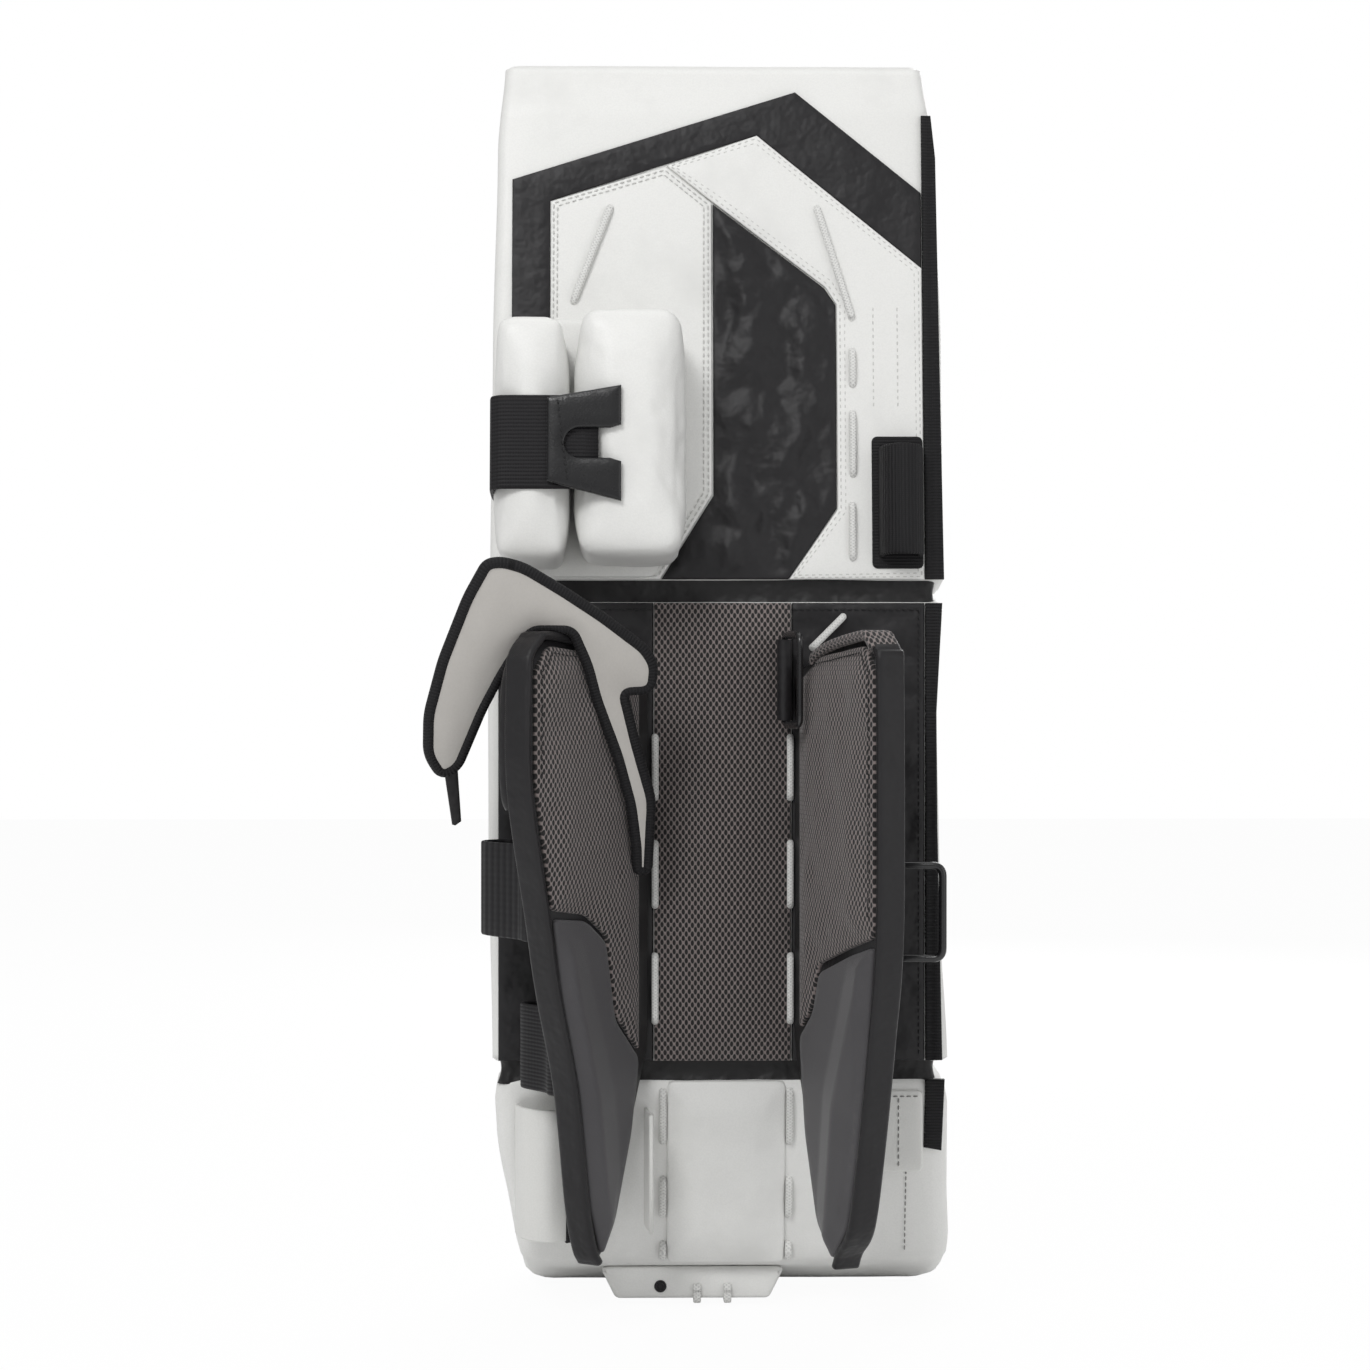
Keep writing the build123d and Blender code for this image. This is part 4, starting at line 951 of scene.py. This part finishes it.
def strap_on_thigh(name, spots, mid, width, thick, covers, finish):
    """The same for a strap on the leaning thigh: spots are (x, depth)."""
    flat = smooth_line([(x, out, 0.0) for x, out in spots], 5)
    profile = tape_profile(width, thick)
    points, uvs = [], []
    count, travelled = len(flat), 0.0
    for i, here in enumerate(flat):
        run = (flat[min(count - 1, i + 1)] - flat[max(0, i - 1)]).normalized()
        side = Vector((-run.y, run.x, 0.0))
        if i:
            travelled += (here - flat[i - 1]).length
        for a, b in profile:
            spot = here + side * b
            points.append(thigh_at(spot.x, mid + a, spot.y))
            uvs.append((a, travelled))
    made = mesh_piece(name, points, tube_faces(count, len(profile)), uvs)
    return finished(made, finish, "thigh", covers)


strap_on_thigh("knee_strap_webbing", strap_spots, STRAP_MID, STRAP_WIDTH, STRAP_THICK, ("knee_strap",),
    webbing)

TAB_OUT = STRAP_OUT + STRAP_THICK / 2 + 0.6
shiny_leather = leather("shiny_leather", (0.014, 0.014, 0.015, 1.0), 0.0, 0.26)
notch = [(-84.0 + 9.0 * cos(radians(a)), 77.0 + 9.0 * sin(radians(a))) for a in range(270, 89, -15)]
tab_outline = [
    (TAB_HINGE_X, 54.0), (-59.5, 42.5), (-59.5, 66.0), (-66.0, 68.0), *notch, (-66.0, 86.0), (-59.5, 88.0),
    (-59.5, 111.5),
    (TAB_HINGE_X, 104.0),
]
finished(
    panel("hook_tab", tab_outline, on_thigh(TAB_OUT), 3.0, 1.2, step=2.5, crown=0.4, crown_in=6.0),
    shiny_leather, "knee_tab", ("knee_strap_tab",),
)
stitches("hook_tab_stitches", [[(-97.0, 103.0), (-103.0 + 12.0, 54.0)]], on_thigh(TAB_OUT + 3.3),
    thread_black, "knee_tab", 0.3)

KEEPER_LEFT, KEEPER_RIGHT, KEEPER_OUT = 98.0, 125.5, BACK_OUT + PANEL + 2.3
keeper_mid, keeper_half = (KEEPER_LEFT + KEEPER_RIGHT) / 2, (KEEPER_RIGHT - KEEPER_LEFT) / 2
finished(
    panel("keeper_base_patch", [(94.0, 12.0), (KEEPER_RIGHT, 12.0), (KEEPER_RIGHT, 94.0), (94.0, 94.0)],
          on_thigh(BACK_OUT + PANEL + 0.3), 2.0, 0.8, 4.0),
    binding_tape, "thigh", ("strap_keeper_base",),
)
arch = [(keeper_mid - (keeper_half - 1.8) * cos(radians(a)), KEEPER_OUT + 17.2 * sin(radians(a)) ** 0.8)
    for a in range(0, 181, 15)]
strap_on_thigh("keeper_loop_webbing", arch, 53.0, 68.0, 3.4, ("strap_keeper_loop",), binding_tape)

# ---- Shin: channel liner, side panels and binding ------------------------------------------------
# The channel is lined with soft spacer mesh, a warm grey knit with long staggered holes over black; the
# holes' near-black colour is also painted shade for their depth.
# Black nylon covers the foam beside it.
SHIN_LOW, SHIN_HIGH = ANKLE_Z + THIGH_FOOT, KNEE_Z - THIGH_FOOT


def spacer_mesh(name, kind="UV"):
    made = Finish(name, (0.2, 0.17, 0.165, 1.0), 0.85, Sheen_Weight=0.25)
    across, down = made.along(0, kind), made.along(1, kind)
    cell_wide, cell_tall = 3.7 * MM, 5.4 * MM
    hole_wide, hole_tall = 2.05 * MM, 3.5 * MM
    nearest = None
    for shift in (0.0, 0.5):
        u = ((across / cell_wide + shift).maths("FRACT") - 0.5) * (cell_wide * 2 / hole_wide)
        v = ((down / cell_tall + shift).maths("FRACT") - 0.5) * (cell_tall * 2 / hole_tall)
        away = (u * u + v * v).maths("SQRT")
        nearest = away if nearest is None else nearest.maths("MINIMUM", away)
    yarn = nearest.above(1.0, 0.30)
    knit = ((across * 2600.0).maths("SINE") * (down * 2600.0).maths("SINE")) * 0.5 + 0.5
    face = made.mix((0.205, 0.170, 0.163, 1.0), (0.30, 0.252, 0.243, 1.0),
        made.grain(420.0, 3.0) * 0.6 + knit * 0.4)
    # In the holes the colour is near black: the black beneath the knit, and painted shade for the depth of
    # the holes, which are only a bump on a solid panel.
    made.paint(made.mix((0.010, 0.009, 0.009, 1.0), face, yarn))
    made.emboss(yarn + knit * 0.12, 0.0010, 0.8)
    return made


mesh_cloth = spacer_mesh("mesh_cloth")


def on_shin(out):
    return lambda x, z, height: shin_at(x, z, out + height)


finished(
    panel("channel_liner", upright(LINER_LEFT, LINER_RIGHT, SHIN_LOW, SHIN_HIGH),
          on_shin(BACK_OUT), 3.6, 1.6, crown=7.8, crown_in=40.0, ripple=0.9, ripple_size=60.0, step=5.0),
    mesh_cloth, "shin", ("calf_liner",),
)
finished(
    panel("side_cloth_medial", upright(-135.5, LINER_LEFT - 0.5, SHIN_LOW, SHIN_HIGH),
          on_shin(BACK_OUT), 2.4, 1.2, ripple=2.0, ripple_size=20.0, lie=(0.35, 1.0), step=4.0),
    black_nylon, "shin", ("side_panel_medial",),
)
finished(
    panel("side_cloth_lateral", upright(LINER_RIGHT + 0.5, 126.0, SHIN_LOW, SHIN_HIGH),
          on_shin(BACK_OUT), 2.4, 1.2, ripple=2.4, ripple_size=18.0, lie=(0.35, 1.0), step=4.0),
    black_nylon, "shin", ("side_panel_lateral",),
)
finished(
    panel("shin_binding_tape", [(126.5, SHIN_LOW), (137.0, SHIN_LOW), (134.0, 300.0), (133.4, 370.0),
          (137.0, SHIN_HIGH), (126.5, SHIN_HIGH)],
          on_shin(BACK_OUT), 3.0, 1.0, grooves=[[(130.5, SHIN_LOW), (130.5, SHIN_HIGH)]], groove=(1.2, 0.8),
          step=2.2),
    binding_tape, "shin", ("shin_edge_binding",),
)
top_rows = [[(-128.0, SHIN_HIGH - 4.0), (124.0, SHIN_HIGH - 4.0)],
    [(122.5, SHIN_LOW + 3.0), (122.5, SHIN_HIGH - 3.0)]]
stitches("shin_seam_stitches", top_rows, on_shin(BACK_OUT + 3.0), thread_black, "shin", 0.3)

# ---- Calf wings ---------------------------------------------------------------------------------
# Each wing is a foam board in black nylon. Its inner side has mesh above and a moulded guard below,
# and a thick tape binds its edge.
HINGE_Y = 38.7
WINGS = {"medial": (-52.0, radians(32.0), -1.0), "lateral": (53.5, radians(19.0), 1.0)}
WING_FOOT = [(34.0, 66.0), (16.0, 116.0)]
FREE_EDGES = {
    "medial": [(122.0, 330.0), (104.0, 255.0), (92.0, 207.0), (74.0, 150.0), (62.0, 80.0), (50.0, 46.0)],
    "lateral": [(122.0, 250.0), (110.0, 180.0), (96.0, 118.0), (82.0, 72.0), (60.0, 46.0)],
}
MESH_ENDS = {
    "medial": [(118.5, 331.0), (101.5, 257.0), (66.0, 252.0), (44.0, 238.0), (33.5, 190.0), (8.0, 165.0)],
    "lateral": [(118.5, 252.0), (117.0, 243.0), (84.0, 234.5), (37.0, 220.5), (27.0, 194.0), (8.0, 178.0)],
}
GUARD_TOPS = {
    "medial": [(100.0, 252.0), (66.0, 248.5), (45.0, 234.5), (35.0, 187.0), (8.0, 161.0)],
    "lateral": [(117.0, 238.0), (84.0, 230.0), (39.0, 216.0), (29.0, 190.5), (8.0, 173.5)],
}
guard_felt = Finish("guard_felt", (0.060, 0.058, 0.062, 1.0), 0.6, Sheen_Weight=0.2, Specular_IOR_Level=0.4)
felt = guard_felt.grain(1400.0, 3.0, 0.7)
guard_felt.paint(guard_felt.mix((0.046, 0.044, 0.048, 1.0), (0.082, 0.079, 0.084, 1.0),
    felt * 0.5 + guard_felt.grain(30.0, 4.0) * 0.5))
guard_felt.dull(felt * 0.2 + 0.5)
guard_felt.emboss(felt, 0.0003, 0.5)


def wing_at(side, u, z, n):
    """A point on a wing: u from its root to its edge, n from its middle towards the leg."""
    hinge_x, splay, way = WINGS[side]
    x = hinge_x + way * u * sin(splay) - way * n * cos(splay)
    return (x, HINGE_Y - u * cos(splay) - n * sin(splay), z)


def calf_wing(side):
    body = f"{side}_wing"
    outer = lambda u, z, height: wing_at(side, u, z, 6.0 - height)
    inner = lambda u, z, height: wing_at(side, u, z, 6.0 + height)
    edge = FREE_EDGES[side]
    cover = [(-5.0, 392.0), (40.0, 407.0), (106.0, 413.0), (122.0, 397.0), *edge, *WING_FOOT, (-5.0, 168.0)]
    finished(
        panel(f"{side}_wing_cover", cover, outer, 12.0, 3.5, 6.0,
              crown=1.5, ripple=2.0, ripple_size=26.0, lie=(1.0, 0.5),
              grooves=[[(10.0, 300.0), (116.0, 300.0)]], groove=(0.9, 3.0)),
        black_nylon, body, (f"{side}_wing_foam",),
    )
    mesh_outline = [(8.0, 389.0), (40.0, 404.0), (105.0, 409.5), (118.5, 396.0), *MESH_ENDS[side]]
    finished(
        panel(f"{side}_wing_mesh", mesh_outline, inner, 3.0, 1.6, 5.0, crown=3.4, crown_in=24.0, ripple=2.0,
              ripple_size=34.0, step=4.5),
        mesh_cloth, body, (f"{side}_wing_liner",),
    )
    guard_outline = [*GUARD_TOPS[side], (17.0, 116.0), (35.0, 67.0)]
    guard_outline += [(u - 1.0, z + (2.0 if z < 50.0 else 0.0)) for u, z in reversed(edge) if z < 220.0]
    tip_u = edge[-1][0]
    ridge = [[(edge[-4][0] - 2.0, 222.0), (tip_u + 10.0, 140.0), (tip_u - 2.0, 60.0)]]

    def moulded(u, z, away):
        peak = max(0.0, 1.0 - distance_to(ridge, u, z) / 24.0)
        return 5.0 * peak * min(1.0, away / 7.0)

    finished(
        panel(f"{side}_wing_guard_shell", guard_outline, inner, 3.4, 2.0, 6.0, shape=moulded, step=3.5),
        guard_felt, body, (f"{side}_wing_guard",),
    )
    start = [(34.0, 405.0), (60.0, 411.0), (104.0, 415.5), (114.0, 412.0), (122.5, 404.0), (124.5, 392.0)]
    path = [*start, *[(u + 2.5, z) for u, z in edge[:-1]], (tip_u + 7.0, 54.0), (tip_u + 1.0, 45.0)]
    over = path[3:] if side == "lateral" else path
    line = smooth_line([wing_at(side, u, z, 1.0) for u, z in over], 6)
    hinge_x, splay, way = WINGS[side]
    facing = (-way * cos(splay), -sin(splay), 0.0)
    tape = swept(f"{side}_wing_edge", line, [(b, a) for a, b in tape_profile(17.0, 5.0)], facing)
    finished(tape, black_nylon, body, (f"{side}_wing_binding",))
    if side == "lateral":
        spots = [(30.0, 400.0), *path[:4], (119.0, 407.0)]
        line = smooth_line([wing_at(side, u, z, 2.0) for u, z in spots], 6)
        roll = swept("lateral_wing_top", line, [(b, a) for a, b in tape_profile(18.5, 6.0)], facing)
        finished(roll, mesh_cloth, body)
    rows = [[(20.0, 398.0), (104.0, 405.5), (115.0, 394.0), (edge[0][0] - 7.0, edge[0][1] + 4.0)]]
    stitches(f"{side}_wing_stitches", rows, inner, thread_black, body, 4.4)


calf_wing("medial")
calf_wing("lateral")
roll_line = smooth_line([wing_at("medial", u, z, n) for u, z, n in (
    (114.0, 318.0, -7.0), (116.0, 326.0, -9.0), (117.0, 360.0, -9.6), (115.0, 388.0, -9.0),
    (112.0, 402.0, -6.0))], 7)
facing = (cos(WINGS["medial"][1]), -sin(WINGS["medial"][1]), 0.0)
roll = swept("medial_wing_roll", roll_line, round_profile(8.4, 18, 0.85), facing)
finished(roll, black_nylon, "medial_wing", ())

# Elastic and webbing straps leave the medial wing's edge and loop back to it.
elastic = ribbed("elastic", (0.0080, 0.0076, 0.0086, 1.0), 160.0, 1, gloss=0.55)


def wing_strap(name, low, high, start, reach, back, finish, node):
    spots = [(start + 3.0, -7.8), (start + 1.0, -14.0), (start - 6.0, -22.0),
             (start - back * 0.35, -8.8 - reach),
             (start - back * 0.65, -8.8 - reach * 1.02), (start - back * 0.88, -8.8 - reach * 0.6),
             (start - back, -9.0)]
    flat = [wing_at("medial", u, 0.0, n)[:2] for u, n in spots]
    wrap_strap(name, flat, (low + high) / 2, high - low, 3.0, "medial_wing", (node,), finish)


wing_strap("calf_elastic_upper", 238.0, 294.0, 97.0, 50.0, 62.0, elastic, "calf_strap_upper")
wing_strap("calf_webbing_lower", 145.0, 196.0, 70.0, 36.0, 44.0, webbing, "calf_strap_lower")

# ---- Knee wrap ----------------------------------------------------------------------------------
# A soft sheet with a suede lining and a thick black binding. It rises inside the wing, goes over the
# wing's top and hangs down outside it, and ends in a strip of hook-and-loop tape.
WRAP_START = (-47.0, 14.0, 280.0)
WRAP_SWEEP, WRAP_RISE = 0.19, 0.368
suede = Finish("suede", (0.50, 0.48, 0.45, 1.0), 0.9, Sheen_Weight=0.4, Specular_IOR_Level=0.2)
nap = suede.grain(700.0, 4.0, 0.7)
suede.paint(suede.mix((0.44, 0.42, 0.395, 1.0), (0.58, 0.56, 0.53, 1.0),
    nap * 0.5 + suede.grain(22.0, 4.0) * 0.5))
suede.emboss(nap, 0.0002, 0.5)


def on_wrap(x, z, height):
    y = WRAP_START[1] + WRAP_SWEEP * (x - WRAP_START[0]) - WRAP_RISE * (z - WRAP_START[2])
    return (x + 0.17 * height, y + 6.0 - height * 0.92, z - 0.34 * height)


wrap_outline = [
    (-128.0, 458.0), (-136.0, 457.0), (-147.0, 438.0), (-162.0, 402.0), (-171.0, 371.0), (-172.0, 348.0),
    (-165.0, 336.0), (-156.0, 341.0), (-141.5, 374.0), (-130.0, 395.0), (-121.0, 409.0), (-112.0, 421.0),
    (-88.0, 421.0), (-79.0, 400.0), (-74.0, 380.0), (-62.0, 347.0), (-54.0, 317.0), (-50.8, 290.0),
    (-50.8, 277.0), (-45.0, 277.0), (-43.0, 320.0), (-52.0, 352.0), (-60.0, 385.0), (-43.0, 386.0),
    (-41.6, 400.0), (-47.0, 409.0), (-71.0, 427.0), (-94.0, 442.0), (-116.0, 455.0),
]
wrap_sheet = panel("knee_wrap_lining", wrap_outline, on_wrap, 5.4, 2.0, 5.0, crown=1.4, crown_in=14.0,
    ripple=1.2, ripple_size=34.0, step=4.0)
finished(wrap_sheet, suede, None, ("knee_wrap_root", "knee_wrap_flap"))
fold_from, fold_to = Vector(on_wrap(-108.0, 440.0, 0.0)) * MM, Vector(on_wrap(-134.0, 432.0, 0.0)) * MM
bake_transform(wrap_sheet)
edge_line = [on_wrap(x, z, 3.0) for x, z in spaced(rounded_outline(wrap_outline, 6.0), 5.0)]
wrap_edge = swept("knee_wrap_edge", edge_line, round_profile(3.6, 10), (0.17, -0.92, -0.34), closed=True)
finished(wrap_edge, binding_tape, None)
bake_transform(wrap_edge)
finished(
    panel("knee_wrap_strip", [(-165.0, 352.0), (-156.0, 356.0), (-154.0, 306.0), (-157.5, 303.5),
          (-159.4, 304.0)],
          lambda x, z, height: on_wrap(x, z, -2.4 + height), 2.0, 0.8, step=2.5),
    black_nylon, "knee_wrap", ("knee_wrap_tail",),
)

# ---- Buckles ------------------------------------------------------------------------------------
# Moulded nylon frames. Each turns on its upright bar in a loop of webbing.
plastic = Finish("black_plastic", (0.012, 0.012, 0.013, 1.0), 0.24, Coat_Weight=0.35, Coat_Roughness=0.15)
plastic.dull(plastic.grain(60.0, 4.0) * 0.18 + 0.16)
plastic.emboss(plastic.grain(900.0), 0.00008, 0.4)


def buckle(name, pivot, swing, low, body, node):
    turn = radians(swing)
    along = Vector((cos(turn), sin(turn), 0.0))
    foot = Vector((pivot[0], pivot[1], low))
    corners = [(0.0, 2.0), (28.0 + 2.0, 2.0), (30.0, 56.0), (0.0, 56.0)]
    outline = spaced(rounded_outline(corners, 6.0), 3.0)
    line = [foot + along * a + Vector((0.0, 0.0, b)) for a, b in outline]
    normal = along.cross(Vector((0.0, 0.0, 1.0)))
    ring = swept(name, line, round_profile(2.3, 12, 0.85), normal, closed=True)
    finished(ring, plastic, body, (node,))


buckle("calf_ring", (39.0, 29.0), -75.0, 361.0, "calf_buckle", "calf_buckle")
lateral_splay = WINGS["lateral"][1]
grip = wing_at("lateral", 84.0, 0.0, -6.0)
wing_pivot = (grip[0] + 12.0 * cos(lateral_splay), grip[1] + 12.0 * sin(lateral_splay))
buckle("wing_ring", wing_pivot, -10.0, 226.0, "wing_buckle", "wing_buckle")
for node in ("calf_buckle_webbing", "wing_buckle_webbing"):
    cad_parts[node].data.materials.clear()
    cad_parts[node].data.materials.append(black_nylon.material)

# ---- Boot: centre panel, laces, strap and tabs ---------------------------------------------------
# A puffed leather panel covers the boot's middle between two rows of laces. A lined strap and two
# folded tabs stand off its back.
BOOT_TILT = atan2(BOOT_SLOPE, ANKLE_Z - 0.3 - 4.3 - SOLE_REAR_Z)
BOOT_RISE = (ANKLE_Z - THIGH_FOOT - SOLE_REAR_Z) / cos(BOOT_TILT)


def boot_at(x, s, depth):
    """A point on the boot's sloping back: s up the slope from the sole, depth out of it."""
    y = MID_Y - HALF_THICK + BOOT_SLOPE - s * sin(BOOT_TILT) - depth * cos(BOOT_TILT)
    return (x, y, SOLE_REAR_Z + s * cos(BOOT_TILT) - depth * sin(BOOT_TILT))


def on_boot(out):
    return lambda x, s, height: boot_at(x, s, out + height)


finished(
    panel("boot_centre_pad", upright(-32.0, 41.0, 1.0, BOOT_RISE - 1.0), on_boot(2.0), 2.6,
          1.6, 5.0, crown=5.0, crown_in=20.0, ripple=1.5, ripple_size=40.0, step=4.0),
    white_leather, "boot", ("boot_panel",),
)
BOOT_RUNS = [(114.0, 80.0), (56.0, 32.0), (13.0, 4.0)]
for side, x in (("medial", -34.5), ("lateral", 43.5)):
    runs = [(x, high, x, low) for high, low in BOOT_RUNS]
    lace_runs(f"boot_lace_{side}", runs, boot_at, 2.6, (f"boot_lacing_{side}",), "boot")
finished(
    panel("boot_binding_tape", [(126.5, BOOT_RISE - 44.0), (137.5, BOOT_RISE - 46.0), (138.5, BOOT_RISE),
          (126.5, BOOT_RISE)], on_boot(2.0),
          3.0, 1.0, step=2.5, ripple=0.5),
    binding_tape, "boot", ("boot_edge_binding",),
)
BOOT_STRAP_ROOT = (-124.0, 49.0)
strap_leather = leather("strap_leather", (0.78, 0.78, 0.755, 1.0), 0.18)
x0, y0 = BOOT_STRAP_ROOT
wrap_strap("boot_strap_leather", [(x0, y0 - 1.0), (x0 + 1.5, y0 - 8.0), (x0 + 7.0, y0 - 19.0),
    (x0 + 20.0, y0 - 28.0), (x0 + 34.0, y0 - 22.0)],
           90.5, 80.0, 2.6, "boot_strap", ("boot_strap",), strap_leather)
wrap_strap("boot_strap_edge", [(x0 + 31.0, y0 - 25.6), (x0 + 35.6, y0 - 21.4), (x0 + 36.4, y0 - 20.6)], 90.5,
    81.5, 4.0, "boot_strap", (), binding_tape)
x1, y1 = -45.0, 49.6
wrap_strap("boot_tab_medial_leather", [(x1, y1), (x1 + 1.0, y1 - 12.0), (x1 + 3.4, y1 - 24.0),
    (x1 + 3.0, y1 - 30.0)],
           91.5, 72.0, 2.6, "tab_medial", ("boot_tab_medial",), strap_leather)
TAB_Y = 47.3
finished(
    panel("boot_tab_lateral_leather", [(95.0, 88.0), (125.0, 88.0), (125.0, 138.0), (95.0, 138.0)],
          lambda x, z, height: (x, TAB_Y + 1.4 - height, z), 2.8, 1.2, 4.0, ripple=0.6, step=3.0),
    strap_leather, "tab_lateral", ("boot_tab_lateral",),
)
thread_grey = Finish("thread_grey", (0.25, 0.25, 0.24, 1.0), 0.6)
thread_grey.emboss(thread_grey.grain(1500.0), 0.0001)
tab_rows = [[(110.0, 91.0), (110.0, 134.0)], [(98.0, 134.5), (122.5, 134.5)]]
stitches("boot_tab_stitches", tab_rows, lambda x, z, height: (x, TAB_Y - 1.4 - height, z), thread_grey,
    "tab_lateral", 0.4)
side_rows = [[(116.0, 8.0), (116.0, 62.0)]]
stitches("boot_side_stitches", side_rows, on_boot(2.0), thread_grey, "boot", 0.4)

# ---- Toe bridge ---------------------------------------------------------------------------------
# A leather tab hangs under the sole, with three punched eyelets and two loops of toe lace.
BRIDGE_X, BRIDGE_Y = -16.0, 86.0
bridge_outline = [(BRIDGE_X - 48.0, 3.1), (BRIDGE_X + 48.0, 3.1), (BRIDGE_X + 57.0, 21.0),
    (BRIDGE_X + 53.0, 22.6), (BRIDGE_X - 53.0, 22.6), (BRIDGE_X - 57.0, 21.0)]
finished(
    panel("toe_bridge_leather", bridge_outline, lambda x, z, height: (x, BRIDGE_Y - height, z), 7.4, 2.2,
          3.0, crown=0.5, step=3.0,
          crown_in=8.0),
    white_leather, "toe_bridge", ("toe_bridge_pad",),
)
laces = []
for x in (-13.0, 6.0):
    spots = [(76.2, 10.2), (77.6, 12.0), (86.4, 12.0), (87.8, 10.0), (87.8, 3.2), (86.0, 1.4), (78.0, 1.4),
        (76.2, 3.2)]
    outline = spaced(rounded_outline(spots, 1.2), 1.6)
    laces.append(swept("lace_loop", [(x, y, z) for y, z in outline],
        [(b, a) for a, b in tape_profile(4.8, 2.2)], (1.0, 0.0, 0.0), closed=True))
ring = [(-36.0 + 3.0 * cos(radians(a)), BRIDGE_Y - 8.1, 11.0 + 3.0 * sin(radians(a)))
    for a in range(0, 360, 18)]
eyelet = swept("free_eyelet", ring, round_profile(0.9, 8), (0.0, -1.0, 0.0), closed=True)
# The hole isn't cut through the tab: a flat black disc across the ring is painted shade for the dark inside
# of the hole. It is joined below with the ring.
hole = mesh_piece("eyelet_hole_shade", [(x, BRIDGE_Y - 8.15, z) for x, _, z in ring], [tuple(range(20))])
finished(joined("toe_eyelet_and_hole_shade", [eyelet, hole]), black_nylon, "toe_bridge")
finished(joined("toe_lace_loops", laces), white_lace, "toe_bridge", ("toe_laces",))

# ---- Studio -------------------------------------------------------------------------------------
# A pale floor, large soft lamps, and a camera level with the middle of the pad behind it.
scene = bpy.context.scene
scene.view_settings.view_transform = "Standard"
floor_finish = Finish("floor", (0.9, 0.9, 0.9, 1.0), 0.9)
light_path = floor_finish.node("ShaderNodeLightPath", out="Is Camera Ray")
white_glow = floor_finish.node("ShaderNodeEmission", None, {"Color": (1.0, 1.0, 1.0, 1.0), "Strength": 1.0})
mixed = floor_finish.node(
    "ShaderNodeMixShader", None, {0: light_path * 0.96,
    1: Value(floor_finish, floor_finish.shader.outputs[0]), 2: white_glow}
)
output = floor_finish.tree.nodes["Material Output"]
floor_finish.tree.links.new(mixed.socket, output.inputs["Surface"])
bpy.ops.mesh.primitive_plane_add(size=12.0, location=(0.0, 0.0, -0.0015))
floor = bpy.context.object
floor.name = "floor"
floor.data.materials.append(floor_finish.material)

world = bpy.data.worlds.new("studio")
scene.world = world
world.use_nodes = True
tree = world.node_tree
background = tree.nodes["Background"]
background.inputs["Color"].default_value = (1.0, 1.0, 1.0, 1.0)
background.inputs["Strength"].default_value = 0.45
bright = tree.nodes.new("ShaderNodeBackground")
bright.inputs["Color"].default_value = (1.0, 1.0, 1.0, 1.0)
bright.inputs["Strength"].default_value = 1.0
path = tree.nodes.new("ShaderNodeLightPath")
choose = tree.nodes.new("ShaderNodeMixShader")
tree.links.new(path.outputs["Is Camera Ray"], choose.inputs[0])
tree.links.new(background.outputs[0], choose.inputs[1])
tree.links.new(bright.outputs[0], choose.inputs[2])
tree.links.new(choose.outputs[0], tree.nodes["World Output"].inputs["Surface"])


def lamp(name, at, towards, size, power):
    light = bpy.data.lights.new(name, "AREA")
    light.size = size
    light.energy = power
    made = bpy.data.objects.new(name, light)
    made.location = at
    made.rotation_euler = (Vector(towards) - Vector(at)).to_track_quat("-Z", "Y").to_euler()
    scene.collection.objects.link(made)


centre = (0.0, 0.05, 0.4)
lamp("key", (-0.8, -1.7, 1.9), centre, 0.8, 23.0)
lamp("fill", (1.6, -1.4, 0.9), centre, 1.6, 6.0)
lamp("top", (0.0, 0.3, 2.4), centre, 1.4, 8.0)
lamp("front", (0.5, 2.0, 1.2), centre, 1.6, 26.0)

camera_data = bpy.data.cameras.new("camera")
camera_data.lens = 68.4
camera = bpy.data.objects.new("camera", camera_data)
camera.location = (-0.045, -1.55, 0.387)
camera.rotation_euler = (Vector((-0.021, 0.05, 0.387)) - camera.location).to_track_quat("-Z", "Y").to_euler()
scene.collection.objects.link(camera)
scene.camera = camera
